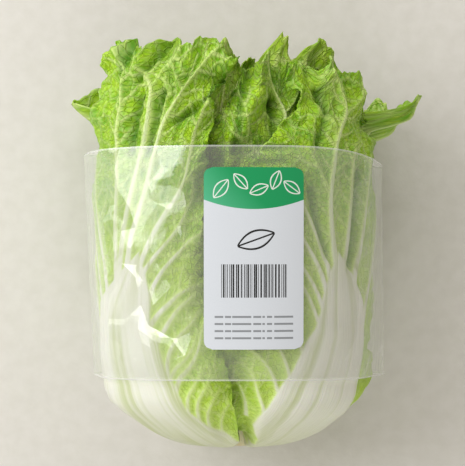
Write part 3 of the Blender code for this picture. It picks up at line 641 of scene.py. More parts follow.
def write_mark(mesh, name, values):
    mark = mesh.attributes.new(name, "FLOAT", "POINT")
    mark.data.foreach_set("value", np.ascontiguousarray(values, dtype=np.float32))


def write_flat(mesh, across, along):
    """The flat leaf's own coordinates, in metres, for patterns that follow the leaf."""
    flat = mesh.attributes.new("flat", "FLOAT_VECTOR", "POINT")
    vectors = np.stack([across, along, 0 * across], axis=-1)
    flat.data.foreach_set("vector", vectors.astype(np.float32).ravel())


def grid_piece(name, rows, columns):
    """A flat grid: u runs up from 0 to 1 and s from 1 at its left to -1 at its right."""
    deselect()
    bpy.ops.mesh.primitive_grid_add(x_subdivisions=columns, y_subdivisions=rows, size=2)
    piece = bpy.context.object
    piece.name = piece.data.name = name
    flat = get_points(piece.data)
    return piece, (flat[:, 1] + 1) / 2, -flat[:, 0]


def in_edit_mode(*steps):
    """Runs mesh operators on all of the active piece. A step is an operator and its settings."""
    bpy.ops.object.mode_set(mode="EDIT")
    bpy.ops.mesh.select_all(action="SELECT")
    for operator, settings in steps:
        operator(**settings)
    bpy.ops.object.mode_set(mode="OBJECT")


def give_back(piece, thickness, group=""):
    """Turns a sheet into a closed piece: a Solidify modifier adds the back and the rim, and is applied."""
    back = piece.modifiers.new("back", "SOLIDIFY")
    back.thickness = thickness
    back.offset = -1
    back.vertex_group = group
    bpy.context.view_layer.objects.active = piece
    bpy.ops.object.modifier_apply(modifier="back")


def thicken(piece, thickness, greatest):
    """Gives a leaf a back whose depth follows the given values."""
    group = piece.vertex_groups.new(name="thickness")
    steps = np.clip(np.round(thickness / greatest * 200), 1, 200).astype(int)
    for step in np.unique(steps):
        group.add(np.nonzero(steps == step)[0].tolist(), step / 200, "REPLACE")
    give_back(piece, greatest, "thickness")
    bpy.ops.object.shade_smooth()


# %% Lay all the leaves, outermost first
LEAF_FLOOR = 0.0010
GREATEST_THICKNESS = 0.0105
PIECES = {}
for leaf in LEAVES:
    piece, u, s = grid_piece(leaf["name"] + "_fine", *leaf["grid"])
    laid = leaf_surface(leaf, u, s, FIELD)
    points = on_head(laid["angle"], laid["distance"], laid["depth"])
    points[:, 2] = np.maximum(points[:, 2], LEAF_FLOOR)
    set_points(piece.data, points)
    write_flat(piece.data, laid["across"], laid["along"])
    for name, values in laid["marks"].items():
        write_mark(piece.data, name, values)
    thicken(piece, laid["thickness"], GREATEST_THICKNESS)
    FIELD.add(laid["angle"], laid["distance"], laid["depth"] + laid["thickness"])
    PIECES[leaf["name"]] = piece
    print(leaf["name"], len(piece.data.polygons) * 2, "triangles")

# %% [markdown]
# ## The heart
#
# Cut a head of napa open and its middle is dozens of small pale leaves. From outside only their tips show,
# so the heart is a core with many thin ruffled blades wrapped round it, each a little lower than the last.

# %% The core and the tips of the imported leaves
HEART_GAP = 0.0040
HEART_DOME_START = 0.222
HEART_DOME_TOP = 0.243
HEART_WIDEST = 0.262
HEART_BLADES = 16
BLADE_GRID = (26, 54)
BLADE_BACK = 0.0009
GOLDEN_ANGLE = 137.5


def heart_side(angle, y):
    distance = np.interp(y, OUTLINE[2], OUTLINE[0])
    depth = FIELD.under(angle, distance) + HEART_GAP
    return section_radius(angle, np.interp(distance, OUTLINE[0], OUTLINE[1])) - depth


def dome_side(angle):
    start = np.full(angle.shape, HEART_DOME_START)
    return np.minimum(heart_side(angle, start), 1.08 * heart_side(angle, start * 0 + HEART_WIDEST))


def heart_core():
    deselect()
    bpy.ops.mesh.primitive_uv_sphere_add(segments=72, ring_count=90, radius=1)
    piece = bpy.context.object
    unit = get_points(piece.data)
    angle = np.arctan2(unit[:, 1], unit[:, 0])
    share = 0.5 - 0.5 * unit[:, 2]
    height = np.hypot(unit[:, 0], unit[:, 1])
    start = np.interp(HEART_DOME_START, OUTLINE[2], OUTLINE[0])
    distance = np.clip((1 - share) / 0.8, 0, 1) * start
    points = on_head(angle, distance, FIELD.under(angle, distance) + HEART_GAP)
    dome = np.clip((0.2 - share) / 0.2, 0, 1)
    radius = dome_side(angle) * np.sqrt(1 - dome ** 2)
    ruffled = 1 + 0.05 * np.sin(5 * angle + 26 * dome)
    dome_y = HEART_DOME_START + dome * (HEART_DOME_TOP - HEART_DOME_START)
    points[dome > 0] = ring_points(angle, radius * ruffled, dome_y)[dome > 0]
    points[height < 1e-4, 0] = 0
    points[height < 1e-4, 2] = AXIS_HEIGHT
    set_points(piece.data, points)
    in_edit_mode((bpy.ops.mesh.normals_make_consistent, {"inside": False}))
    return piece, angle, share


def heart_blade(k):
    piece, u, s = grid_piece(f"heart_blade_{k}", *BLADE_GRID)
    wrap = np.radians(80 - 2 * k)
    angle = math.radians(20 + GOLDEN_ANGLE * k) + s * wrap
    scale = (0.95 - 0.054 * k) * (1 - 0.30 * u ** 2.2)
    frill = u ** 1.6 * (0.0030 * np.sin(15 * s + 1.3 * k) + 0.0022 * noise(22 * s + k, 3 * u, 40 + k))
    height = 0.054 - 0.0008 * k + 0.005 * math.cos(2.2 * k)
    edge = 0.0022 * noise(9 * s + 3 * k, 0 * s, 60 + k) + 0.0010 * noise(30 * s, 0 * s, 80 + k)
    y = HEART_DOME_START - 0.004 + u * height * (1 - 0.30 * np.abs(s) ** 2.5) + edge * u
    pleat = 0.0006 * noise(30 * s, 2 * u, 90 + k) * (1 - u) + 0.0005 * noise(20 * s, 12 * u, 95 + k)
    radius = dome_side(angle) * scale + 1.4 * frill + pleat
    set_points(piece.data, ring_points(angle, radius, y))
    write_flat(piece.data, s * 0.06, u * 0.05)
    write_mark(piece.data, "rim", np.clip((u - 0.55) / 0.45, 0, 1))
    write_mark(piece.data, "vein", eased((noise(16 * s, 1.5 * u, 99 + k) - 0.15) / 0.5) * (1 - 0.5 * u))
    give_back(piece, BLADE_BACK)
    bpy.ops.object.shade_smooth()
    return piece


core, core_angle, core_share = heart_core()
write_flat(core.data, core_angle * 0.06, core_share * 0.3)
write_mark(core.data, "rim", np.clip((0.12 - core_share) / 0.12, 0, 1) * 0.4)
write_mark(core.data, "vein", 0.5 + 0.5 * noise(core_angle * 6, core_share * 2, 31))
bpy.ops.object.shade_smooth()
blades = [heart_blade(k) for k in range(HEART_BLADES)]
deselect()
for blade in blades:
    blade.select_set(True)
core.select_set(True)
bpy.context.view_layer.objects.active = core
bpy.ops.object.join()
core.name = core.data.name = "heart_fine"
PIECES["heart"] = core
print("heart", sum(len(p.vertices) - 2 for p in core.data.polygons), "triangles")

# %% [markdown]
# ## The stump
#
# The stump is the stem that the grower cut through. It starts as a finely divided cylinder. Its side gets
# five soft knobs, the rim of the cut is rounded, and the cut face is pushed in a little here and there,
# because a knife never leaves it flat.

# %% Model the stump
STUMP_RADIUS = 0.0218
stump_low, stump_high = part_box("stump")
STUMP_LENGTH = stump_high[1] - stump_low[1]
STUMP_MIDDLE = (stump_low[1] + stump_high[1]) / 2
deselect()
bpy.ops.mesh.primitive_cylinder_add(
    vertices=64, radius=STUMP_RADIUS, depth=STUMP_LENGTH, end_fill_type="TRIFAN",
    location=(0, STUMP_MIDDLE, AXIS_HEIGHT), rotation=(math.pi / 2, 0, 0))
stump = bpy.context.object
bpy.ops.object.transform_apply(location=False, rotation=True, scale=True)
in_edit_mode((bpy.ops.mesh.subdivide, {"number_cuts": 5}))
bpy.ops.object.transform_apply(location=True, rotation=False, scale=False)
points = get_points(stump.data)
radius = np.hypot(points[:, 0], points[:, 2] - AXIS_HEIGHT)
turn = np.arctan2(points[:, 2] - AXIS_HEIGHT, points[:, 0])
rounding = 1 - 0.05 * eased((stump_low[1] + 0.002 - points[:, 1]) / 0.002) * eased((radius - 0.014) / 0.004)
knobs = 1 - 0.015 * (1 + np.sin(5 * turn + 1))
knobs = knobs - 0.010 * (1 + noise(turn * 4, points[:, 1] / 0.006, 71))
points[:, 0] *= rounding * knobs
points[:, 2] = AXIS_HEIGHT + (points[:, 2] - AXIS_HEIGHT) * rounding * knobs
cut = points[:, 1] < stump_low[1] + 0.0005
points[cut, 1] += 0.0006 * (1 + noise(points[cut, 0] / 0.006, points[cut, 2] / 0.006, 72))
set_points(stump.data, points)
bpy.ops.object.shade_smooth_by_angle(angle=math.radians(40))
stump.name = stump.data.name = "stump_fine"
PIECES["stump"] = stump

# %% [markdown]
# ## The film band
#
# The band is a sleeve of clear film pulled taut over the head, along the loop worked out above. Taut film
# is not smooth: it stands in shallow facets with folds between them, and those break up its reflections. A
# coarse grid with shifted corners gives the facets. Slight folds are shaded soft and sharp ones are left
# sharp, so the white patches get curved sides and a few hard corners.

# %% Fold a coarse sleeve into facets
FILM_ROWS = 12
CREASE_ANGLE = 8.3
UPPER_COLUMNS, LOWER_COLUMNS = 26, 34
SLIP_DEGREES, SLIP_ROWS = 2.4, 0.32
HEM_RISE = 0.0035
FACET_LIFT, FACET_CHANGE = 0.0010, 0.0009
LABEL_PLACE, LABEL_REACH = (0.0128, 0.138), (0.046, 0.078)

piece, u, s = grid_piece("film_band_fine", FILM_ROWS, UPPER_COLUMNS + LOWER_COLUMNS)
column = np.round((1 - s) / 2 * (UPPER_COLUMNS + LOWER_COLUMNS))
upper = column < UPPER_COLUMNS
angle = np.where(upper, -CREASE_ANGLE + column * (180 + 2 * CREASE_ANGLE) / UPPER_COLUMNS,
                 180 + CREASE_ANGLE + (column - UPPER_COLUMNS) * (180 - 2 * CREASE_ANGLE) / LOWER_COLUMNS)
inner_row = (u > 0.01) & (u < 0.99)
on_top = upper & (column > 0)
rng = np.random.default_rng(23)
slip_round, slip_along, lift = rng.uniform(-1, 1, (3, len(u)))
angle = np.radians(angle + SLIP_DEGREES * slip_round * on_top)
u = u + SLIP_ROWS / FILM_ROWS * slip_along * on_top * inner_row
y = FILM_LOW + u * (FILM_HIGH - FILM_LOW - film_droop(angle))
y = y + HEM_RISE * (1 - u) * np.maximum(np.sin(angle), 0)
radius = film_radius(angle, y) + FILM_THICKNESS
by_label = np.abs(radius * np.cos(angle) - LABEL_PLACE[0]) < LABEL_REACH[0]
by_label = by_label & (np.abs(y - LABEL_PLACE[1]) < LABEL_REACH[1])
loose = np.where(inner_row, 1.0, 0.4) * np.where(by_label, 0.25, 1.0) * eased((np.sin(angle) + 0.15) / 0.5)
radius = radius + (FACET_LIFT + FACET_CHANGE * lift) * loose
set_points(piece.data, ring_points(angle, radius, y))
write_flat(piece.data, angle * 0.1, y)
write_mark(piece.data, "share", u)
in_edit_mode((bpy.ops.mesh.remove_doubles, {"threshold": 1e-6}),
             (bpy.ops.mesh.quads_convert_to_tris, {"quad_method": "SHORTEST_DIAGONAL"}),
             (bpy.ops.mesh.normals_make_consistent, {"inside": False}))
give_back(piece, FILM_THICKNESS / 2)
bpy.ops.object.shade_smooth_by_angle(angle=math.radians(7))
PIECES["film_band"] = piece
print("film", len(piece.data.polygons), "facets")

# %% [markdown]
# ## The label
#
# The label is a stiff glossy sticker with round corners. It is cut from a fine grid, so it can follow the
# film's curve, and gets its printed areas from its finish.

# %% Cut the label and lay it on the film
LABEL_HALF_WIDTH = 0.0342
LABEL_LOW = 0.0755
LABEL_HIGH = 0.2012
LABEL_MIDDLE_X = 0.0128
LABEL_CORNER = 0.006
LABEL_THICKNESS = 0.0006
LABEL_GAP = 0.0005
LABEL_LIFT = 0.0008

piece, u, s = grid_piece("label_fine", 84, 48)
half_height = (LABEL_HIGH - LABEL_LOW) / 2
h = (2 * u - 1) * half_height
beyond = np.clip((np.abs(h) - half_height + LABEL_CORNER) / LABEL_CORNER, 0, 1)
inset = LABEL_CORNER * (1 - np.sqrt(1 - beyond ** 2))
x = LABEL_MIDDLE_X - s * (LABEL_HALF_WIDTH - inset)
y = (LABEL_LOW + LABEL_HIGH) / 2 + h
angle = np.full(x.shape, math.pi / 2)
for _ in range(12):
    radius = film_radius(angle, y) + FILM_THICKNESS + LABEL_GAP + LABEL_THICKNESS
    angle = np.arccos(np.clip(x / radius, -1, 1))
radius = radius + LABEL_LIFT
set_points(piece.data, ring_points(angle, radius, y))
write_flat(piece.data, x - LABEL_MIDDLE_X, h)
give_back(piece, LABEL_THICKNESS / 2)
bpy.ops.object.shade_smooth_by_angle(angle=math.radians(40))
PIECES["label"] = piece

# %% [markdown]
# ## Finishes
#
# Each finish starts from what the real surface is. Colours are written as sRGB hex, as a colour picker
# gives them, and one function turns them to the linear values that a shader works with.


# %% Helpers for materials
def colour(hex_code):
    parts = [int(hex_code[i:i + 2], 16) / 255 for i in (1, 3, 5)]
    return tuple(c / 12.92 if c <= 0.04045 else ((c + 0.055) / 1.055) ** 2.4 for c in parts) + (1.0,)


def add_node(tree, kind, inputs=None, **settings):
    """Adds a node with its settings, and sets or links its inputs. A node stands for its first output."""
    node = tree.nodes.new(kind)
    for key, value in settings.items():
        setattr(node, key, value)
    for key, value in (inputs or {}).items():
        if isinstance(value, bpy.types.Node):
            value = value.outputs[0]
        if isinstance(value, bpy.types.NodeSocket):
            tree.links.new(value, node.inputs[key])
        else:
            node.inputs[key].default_value = value
    return node


def new_material(name):
    made = bpy.data.materials.new(name)
    made.use_nodes = True
    made.node_tree.nodes.clear()
    return made, made.node_tree


def layered(tree, base, layers):
    """Lays tones on a base. A layer is a pattern, where it starts and is full, its strength and its tone."""
    for pattern, start, full, strength, tone in layers:
        share = add_node(tree, "ShaderNodeMapRange", {
            "Value": pattern, "From Min": start, "From Max": full, "To Max": strength})
        tone = colour(tone) if isinstance(tone, str) else tone
        base = add_node(tree, "ShaderNodeMix", {0: share, 6: base, 7: tone}, data_type="RGBA").outputs[2]
    return base


def worked(tree, value, *steps):
    """Works a value through sums: a step is an operation and the numbers or sockets that it also takes."""
    for operation, *others in steps:
        inputs = dict(enumerate([value, *others]))
        value = add_node(tree, "ShaderNodeMath", inputs, operation=operation)
    return value


# %% [markdown]
# ### Leaf skin
#
# A cabbage leaf has a waxy skin over wet green flesh. Light goes a little way in, so the finish has some
# subsurface scattering. The midrib and strands are white and finely ribbed, the blade is bright green
# between pale veins, and the smallest veins are too fine for the mesh and are drawn as the walls of 4 mm
# cells. Shade and light are painted on the blade too: darker green next to the veins and in the folds, and
# a paler painted highlight on the puffed skin between the veins.


# %% The leaf's skin
def leaf_skin(name, rib, bright, deep, pale, thread, shade):
    """The leaf's tones: its rib, its blade from bright to deep and pale, its thin veins, and the painted
    shade in its folds.
    """
    made, tree = new_material(name)
    flat = add_node(tree, "ShaderNodeAttribute", attribute_name="flat").outputs["Vector"]
    white, vein, puff_shading, glow, streak, fold_shade = (
        add_node(tree, "ShaderNodeAttribute", attribute_name=mark).outputs["Fac"]
        for mark in ("white", "vein", "puff_shading", "glow", "streak", "deep"))
    broad = add_node(tree, "ShaderNodeTexNoise", {"Vector": flat, "Scale": 45.0, "Detail": 3.0})
    speckle = add_node(tree, "ShaderNodeTexNoise", {"Vector": flat, "Scale": 380.0, "Detail": 4.0})
    stretched = add_node(tree, "ShaderNodeMapping", {"Vector": flat, "Scale": (700.0, 16.0, 1.0)})
    lines = add_node(tree, "ShaderNodeTexNoise", {"Vector": stretched, "Scale": 1.0, "Detail": 3.0})
    cells = add_node(tree, "ShaderNodeTexVoronoi", {
        "Vector": flat, "Scale": 270.0}, feature="DISTANCE_TO_EDGE")
    net = add_node(tree, "ShaderNodeMapRange", {"Value": cells, "From Min": 0.10, "From Max": 0.0})
    far = add_node(tree, "ShaderNodeSeparateXYZ", {0: flat}).outputs[1]
    green = layered(tree, colour(deep), (
        (broad, 0.38, 0.62, 1.0, bright),
        # Painted shade next to the veins and a painted highlight on the puffed skin between them.
        (puff_shading, 0.75, 0.15, 0.45, deep),
        (puff_shading, 0.70, 0.98, 0.35, pale),
        (speckle, 0.50, 0.72, 0.7, pale),
        (far, 0.245, 0.180, 0.45, "#CFEA5C"),
        (net, 0.0, 1.0, 0.34, pale),
        (vein, 0.0, 1.0, 0.78, thread),
        (glow, 0.0, 1.0, 1.0, thread),
        # Painted shade in the folds and the valleys between the strands.
        (fold_shade, 0.0, 1.0, 0.75, shade)))
    flesh = layered(tree, colour(rib), (
        (streak, -0.2, 1.0, 1.0, "#BCC890"),
        (lines, 0.50, 0.75, 0.5, "#F0F1E6"),
        (far, 0.090, 0.020, 0.60, "#A9B26E"),
        (far, 0.170, 0.260, 0.75, "#C9DC9C")))
    skin = layered(tree, green, ((white, 0.0, 0.5, 1.0, thread), (white, 0.40, 0.95, 1.0, flesh)))
    rough = add_node(tree, "ShaderNodeMapRange", {"Value": white, "To Min": 0.42, "To Max": 0.30})
    crisp = add_node(tree, "ShaderNodeMapRange", {"Value": far, "From Min": 0.15, "From Max": 0.26,
                                                  "To Min": 0.40, "To Max": 1.0})
    blade = worked(tree, 1.0, ("SUBTRACT", white), ("MULTIPLY", crisp))
    grainy = worked(tree, net, ("ADD", speckle), ("MULTIPLY", blade))
    height = worked(tree, lines, ("MULTIPLY", white), ("MULTIPLY_ADD", 0.5, grainy))
    bump = add_node(tree, "ShaderNodeBump", {"Height": height, "Strength": 0.8, "Distance": 0.0010})
    shader = add_node(tree, "ShaderNodeBsdfPrincipled", {
        "Base Color": skin, "Roughness": rough, "Normal": bump, "IOR": 1.42, "Specular IOR Level": 0.35,
        "Subsurface Weight": 0.12, "Subsurface Radius": (0.7, 1.0, 0.3), "Subsurface Scale": 0.002})
    add_node(tree, "ShaderNodeOutputMaterial", {"Surface": shader})
    return made


# The last tone of each skin is painted shade for the folds. The deep and pale tones are also painted as
# shade next to the veins and as a highlight on the puffs.
OUTER_SKIN = leaf_skin("waxy_outer_leaf", "#E6E9DC", "#A2D20E", "#6CAA0E", "#C0DE42", "#CCE288", "#38700C")
INNER_SKIN = leaf_skin("waxy_inner_leaf", "#ECEBD6", "#ACD620", "#82B818", "#CAE252", "#D6E68C", "#4C8010")


# %% [markdown]
# ### Pale heart leaf
#
# Leaves that never saw the sun are cream at the base and lemon yellow at their frilled rims.


# %% The skins of the heart and the stump
def heart_skin():
    made, tree = new_material("pale_heart_leaf")
    flat = add_node(tree, "ShaderNodeAttribute", attribute_name="flat").outputs["Vector"]
    rim, vein = (add_node(tree, "ShaderNodeAttribute", attribute_name=mark).outputs["Fac"]
                 for mark in ("rim", "vein"))
    broad = add_node(tree, "ShaderNodeTexNoise", {"Vector": flat, "Scale": 90.0, "Detail": 4.0})
    stretched = add_node(tree, "ShaderNodeMapping", {"Vector": flat, "Scale": (600.0, 40.0, 1.0)})
    streak = add_node(tree, "ShaderNodeTexNoise", {"Vector": stretched, "Scale": 1.0})
    cells = add_node(tree, "ShaderNodeTexVoronoi", {
        "Vector": flat, "Scale": 260.0}, feature="DISTANCE_TO_EDGE")
    net = add_node(tree, "ShaderNodeMapRange", {"Value": cells, "From Min": 0.10, "From Max": 0.0})
    yellow = layered(tree, colour("#E6E88C"), ((broad, 0.4, 0.6, 1.0, "#C6DA60"),))
    skin = layered(tree, colour("#F5F4DC"), (
        (streak, 0.45, 0.7, 1.0, "#E2EAB6"),
        (rim, 0.0, 1.0, 1.0, yellow),
        (vein, 0.3, 1.5, 1.0, "#F6F3DC")))
    height = worked(tree, net, ("ADD", broad))
    bump = add_node(tree, "ShaderNodeBump", {"Height": height, "Strength": 0.5, "Distance": 0.0006})
    shader = add_node(tree, "ShaderNodeBsdfPrincipled", {
        "Base Color": skin, "Roughness": 0.42, "Normal": bump, "IOR": 1.42, "Subsurface Weight": 0.25,
        "Subsurface Radius": (1.0, 0.9, 0.3), "Subsurface Scale": 0.003})
    add_node(tree, "ShaderNodeOutputMaterial", {"Surface": shader})
    return made


def stump_skin():
    made, tree = new_material("cut_stem")
    place = add_node(tree, "ShaderNodeTexCoord").outputs["Object"]
    middle = add_node(tree, "ShaderNodeMapping", {"Vector": place, "Location": (0, 0, -AXIS_HEIGHT)})
    rings = add_node(tree, "ShaderNodeTexWave", {
        "Vector": middle, "Scale": 60.0, "Distortion": 3.0, "Detail": 3.0, "Detail Scale": 2.0},
        wave_type="RINGS", rings_direction="Y").outputs[1]
    stain = add_node(tree, "ShaderNodeTexNoise", {"Vector": place, "Scale": 160.0, "Detail": 5.0})
    skin = layered(tree, colour("#E6E0BE"), (
        (rings, 0.0, 1.0, 1.0, "#D2C898"),
        (stain, 0.48, 0.70, 1.0, "#9A7A4A")))
    bump = add_node(tree, "ShaderNodeBump", {"Height": stain, "Strength": 0.6, "Distance": 0.0008})
    shader = add_node(tree, "ShaderNodeBsdfPrincipled", {
        "Base Color": skin, "Roughness": 0.6, "Normal": bump, "Subsurface Weight": 0.1,
        "Subsurface Scale": 0.002})
    add_node(tree, "ShaderNodeOutputMaterial", {"Surface": shader})
    return made


HEART_SKIN = heart_skin()
STUMP_SKIN = stump_skin()


# %% [markdown]
# ### Clear film
#
# Polypropylene film is nearly invisible face on. What the eye sees is its gloss, a faint milky veil that
# grows towards its folded sides, and a bright line where it was cut.


# %% Film that lets light through and still shines
def clear_film():
    made, tree = new_material("clear_polypropylene_film")
    flat = add_node(tree, "ShaderNodeAttribute", attribute_name="flat").outputs["Vector"]
    stretched = add_node(tree, "ShaderNodeMapping", {"Vector": flat, "Scale": (260.0, 26.0, 1.0)})
    streak = add_node(tree, "ShaderNodeTexNoise", {"Vector": stretched, "Scale": 1.0, "Detail": 3.0})
    facing = add_node(tree, "ShaderNodeLayerWeight", {"Blend": 0.5}).outputs["Facing"]
    share = add_node(tree, "ShaderNodeAttribute", attribute_name="share").outputs["Fac"]
    low_hem, high_hem, turned, patch = (
        add_node(tree, "ShaderNodeMapRange", {"Value": value, "From Min": low, "From Max": full})
        for value, low, full in ((share, 0.010, 0.003), (share, 0.990, 0.997),
                                 (facing, 0.35, 0.9), (streak, 0.40, 0.70)))
    veil = worked(tree, turned, ("MULTIPLY", patch), ("MULTIPLY_ADD", 0.22, 0.055))
    veil = worked(tree, facing, ("MULTIPLY_ADD", 0.05, veil))
    veil = worked(tree, low_hem, ("ADD", high_hem), ("MULTIPLY_ADD", 0.25, veil))
    ripple = add_node(tree, "ShaderNodeTexNoise", {"Vector": flat, "Scale": 34.0, "Detail": 0.0})
    bump = add_node(tree, "ShaderNodeBump", {"Height": ripple, "Strength": 0.6, "Distance": 0.0030})
    clear = add_node(tree, "ShaderNodeBsdfTransparent", {"Color": (1, 1, 1, 1)})
    milk = add_node(tree, "ShaderNodeBsdfDiffuse", {"Color": colour("#F2F5F4")})
    gloss = add_node(tree, "ShaderNodeBsdfGlossy", {"Color": colour("#FFFFFF"), "Roughness": 0.05,
                                                    "Normal": bump})
    body = add_node(tree, "ShaderNodeMixShader", {0: veil, 1: clear, 2: milk})
    mirror = worked(tree, facing, ("POWER", 5.0), ("MULTIPLY_ADD", 0.5, 0.065))
    film = add_node(tree, "ShaderNodeMixShader", {0: mirror, 1: body, 2: gloss})
    add_node(tree, "ShaderNodeOutputMaterial", {"Surface": film})
    return made


FILM_SKIN = clear_film()


# %% [markdown]
# ### Printed label
#
# The label is coated paper: cool white, with a green heading whose lower edge hangs in a curve. Its print
# is plain: small drawn leaves, one larger leaf, a block of bars and four broken rules. The heading's lower
# left is lighter with a painted sheen. All of it is worked out from the label's own flat coordinates, so it
# stays sharp at any size.


# %% The print on the label
PRINT_STROKE, BIG_STROKE = 0.00045, 0.0007
HEADING_CURVE, HEADING_LOW = 5.6, 0.0340
BAR_BLOCK = ((-0.0225, -0.0270), (0.0225, -0.0040))
RULE_PANEL = ((-0.0270, -0.0575), (0.0270, -0.0385))
RULE_SPACING, RULE_WIDTH = 0.0049, 0.0014
BIG_LEAF = ((0.0015, 0.0130), 0.35, 0.027, 0.012)
SMALL_LEAVES = (((-0.0225, 0.0480), 0.9, 0.016, 0.008), ((-0.0090, 0.0530), 2.3, 0.014, 0.007),
                ((0.0035, 0.0475), 0.4, 0.014, 0.007), ((0.0150, 0.0540), 1.2, 0.014, 0.007),
                ((0.0260, 0.0490), 2.5, 0.014, 0.007))


def in_box(tree, place, low, high):
    """1 where a pair of coordinates lies between two corners."""
    parts = [worked(tree, value, (test, limit))
             for test, corner in (("GREATER_THAN", low), ("LESS_THAN", high))
             for value, limit in zip(place, corner)]
    return worked(tree, parts[0], *(("MULTIPLY", part) for part in parts[1:]))


def drawn_leaf(tree, x, y, place, turn, length, width, stroke=PRINT_STROKE):
    """1 on the outline and midrib of a plain pointed leaf."""
    dx, dy = worked(tree, x, ("SUBTRACT", place[0])), worked(tree, y, ("SUBTRACT", place[1]))
    run = worked(tree, dy, ("MULTIPLY", math.sin(turn)))
    run = worked(tree, dx, ("MULTIPLY_ADD", math.cos(turn), run), ("DIVIDE", length / 2))
    aside = worked(tree, dx, ("MULTIPLY", -math.sin(turn)))
    aside = worked(tree, dy, ("MULTIPLY_ADD", math.cos(turn), aside), ("ABSOLUTE",))
    edge = worked(tree, run, ("MULTIPLY", run), ("MULTIPLY_ADD", -width / 2, width / 2))
    rib = worked(tree, aside, ("LESS_THAN", stroke * 0.8))
    within = worked(tree, run, ("ABSOLUTE",), ("LESS_THAN", 1.0))
    return worked(tree, aside, ("SUBTRACT", edge), ("ABSOLUTE",), ("LESS_THAN", stroke), ("MAXIMUM", rib),
                  ("MULTIPLY", within))


def printed_label():
    made, tree = new_material("coated_paper_label")
    flat = add_node(tree, "ShaderNodeAttribute", attribute_name="flat").outputs["Vector"]
    apart = add_node(tree, "ShaderNodeSeparateXYZ", {0: flat})
    x, y = apart.outputs[0], apart.outputs[1]
    bars, words = (
        add_node(tree, "ShaderNodeTexNoise", {"W": x, "Scale": scale, "Detail": 0.0},
                 noise_dimensions="1D")
        for scale in (900.0, 420.0))
    grain = add_node(tree, "ShaderNodeTexNoise", {"Vector": flat, "Scale": 1500.0, "Detail": 2.0})
    curve = worked(tree, x, ("MULTIPLY", x), ("MULTIPLY_ADD", HEADING_CURVE, HEADING_LOW))
    header = worked(tree, y, ("GREATER_THAN", curve))
    block = in_box(tree, (x, y), *BAR_BLOCK)
    bar = worked(tree, bars, ("GREATER_THAN", 0.5), ("MULTIPLY", block))
    panel = in_box(tree, (x, y), *RULE_PANEL)
    word = worked(tree, words, ("GREATER_THAN", 0.38), ("MULTIPLY", panel))
    rows = worked(tree, y, ("ADD", 0.0550), ("PINGPONG", RULE_SPACING / 2), ("LESS_THAN", RULE_WIDTH / 2),
                  ("MULTIPLY", word))
    small = [drawn_leaf(tree, x, y, *leaf) for leaf in SMALL_LEAVES]
    small = worked(tree, small[0], *(("MAXIMUM", leaf) for leaf in small[1:]))
    big = drawn_leaf(tree, x, y, *BIG_LEAF, stroke=BIG_STROKE)
    # A painted sheen: the heading turns lighter towards its lower left, as a reflection would.
    painted_sheen = worked(tree, x, ("ADD", y))
    heading = layered(tree, colour("#0A9A5B"), ((painted_sheen, 0.045, 0.005, 1.0, "#52B98C"),))
    paper = layered(tree, colour("#DCE2EA"), (
        (grain, 0.3, 0.7, 1.0, "#D7DEE7"),
        (header, 0.0, 1.0, 1.0, heading),
        (small, 0.0, 1.0, 0.9, "#F2F6F2"),
        (worked(tree, bar, ("MAXIMUM", big)), 0.0, 1.0, 1.0, "#15181A"),
        (rows, 0.0, 1.0, 0.65, "#3A3E40")))
    bump = add_node(tree, "ShaderNodeBump", {"Height": grain, "Strength": 0.08, "Distance": 0.0002})
    shader = add_node(tree, "ShaderNodeBsdfPrincipled", {
        "Base Color": paper, "Roughness": 0.32, "Normal": bump, "Coat Weight": 0.25, "Coat Roughness": 0.15})
    add_node(tree, "ShaderNodeOutputMaterial", {"Surface": shader})
    return made


LABEL_SKIN = printed_label()

# %% [markdown]
# ## Each piece takes its node's place
#
# Every fine piece hides the plain solid that it stands for, rides on the one body, and takes its finish.

# %% Replace the solids
SKINS = {"heart": HEART_SKIN, "stump": STUMP_SKIN, "film_band": FILM_SKIN, "label": LABEL_SKIN}
for node, piece in PIECES.items():
    inner = node.startswith("leaf_inner")
    piece.data.materials.clear()
    piece.data.materials.append(SKINS.get(node, INNER_SKIN if inner else OUTER_SKIN))
    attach(piece, "root")
    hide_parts(node)

# %% [markdown]
# ## Floor, light and camera
#
# The head lies on a pale plastered board. A small lamp up and to the left gives the shadow its direction. A
# low soft box and a high panel stand on the same side, because the film's folds mirror what stands there,
# and their images are the white patches on the film. Two panels beyond the head's ends, which the film
# doesn't mirror, and a weak warm sky fill the shadow. The camera looks straight down.


# %% The floor
def plaster():
    made, tree = new_material("matt_plaster")
    place = add_node(tree, "ShaderNodeTexCoord").outputs["Object"]
    grain = add_node(tree, "ShaderNodeTexNoise", {"Vector": place, "Scale": 90.0, "Detail": 6.0})
    tone = layered(tree, colour("#D6D4CE"), ((grain, 0.35, 0.65, 1.0, "#DBD9D4"),))
    bump = add_node(tree, "ShaderNodeBump", {"Height": grain, "Strength": 0.35, "Distance": 0.0015})
    shader = add_node(tree, "ShaderNodeBsdfPrincipled", {
        "Base Color": tone, "Roughness": 0.9, "Normal": bump})
    add_node(tree, "ShaderNodeOutputMaterial", {"Surface": shader})
    return made


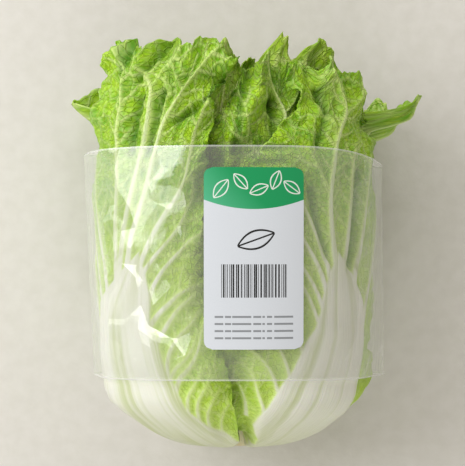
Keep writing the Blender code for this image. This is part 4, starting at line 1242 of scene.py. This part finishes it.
FLOOR_WIDTH = 6
deselect()
bpy.ops.mesh.primitive_plane_add(size=FLOOR_WIDTH, location=(0, 0, 0))
floor = bpy.context.object
floor.name = "plaster_floor"
floor.data.materials.append(plaster())


# %% The lamps and the sky
LAMPS = (
    {"name": "window_lamp", "place": (-0.96, 0.90, 1.08), "aim": 0.05, "size": (0.45, 0.45), "power": 3.0},
    {"name": "soft_box", "place": (-1.12, 0.32, 0.62), "aim": 0.06, "size": (0.85, 1.20), "power": 9.0},
    {"name": "high_panel", "place": (-0.80, 0.22, 1.25), "aim": 0.06, "size": (0.50, 0.50), "power": 3.0},
    {"name": "far_panel", "place": (0.10, 1.25, 0.75), "aim": 0.06, "size": (1.20, 0.80), "power": 7.2},
    {"name": "near_panel", "place": (0.10, -1.25, 0.75), "aim": 0.06, "size": (1.20, 0.80), "power": 7.2},
)
for lamp in LAMPS:
    data = bpy.data.lights.new(lamp["name"], "AREA")
    data.shape = "RECTANGLE"
    data.size, data.size_y = lamp["size"]
    data.energy = lamp["power"]
    made = bpy.data.objects.new(lamp["name"], data)
    bpy.context.scene.collection.objects.link(made)
    made.location = lamp["place"]
    away = np.array(lamp["place"]) - np.array((0, 0, lamp["aim"]))
    made.rotation_euler = (math.acos(away[2] / np.linalg.norm(away)), 0, math.atan2(away[0], -away[1]))
    made.visible_camera = False
world = bpy.data.worlds.new("studio_sky")
bpy.context.scene.world = world
world.use_nodes = True
world.node_tree.nodes["Background"].inputs[0].default_value = colour("#FFF4E4")
world.node_tree.nodes["Background"].inputs[1].default_value = 0.38

# %% The camera
CAMERA_PLACE, LENS, SENSOR_WIDTH = (-0.0018, 0.0059, 1.285), 125.7, 36.0
camera = bpy.data.objects.new("camera", bpy.data.cameras.new("camera"))
bpy.context.scene.collection.objects.link(camera)
camera.location = CAMERA_PLACE
camera.data.lens = LENS
camera.data.sensor_width = SENSOR_WIDTH
bpy.context.scene.camera = camera
bpy.context.scene.view_settings.view_transform = "Standard"

# %% Update the scene
bpy.context.view_layer.update()
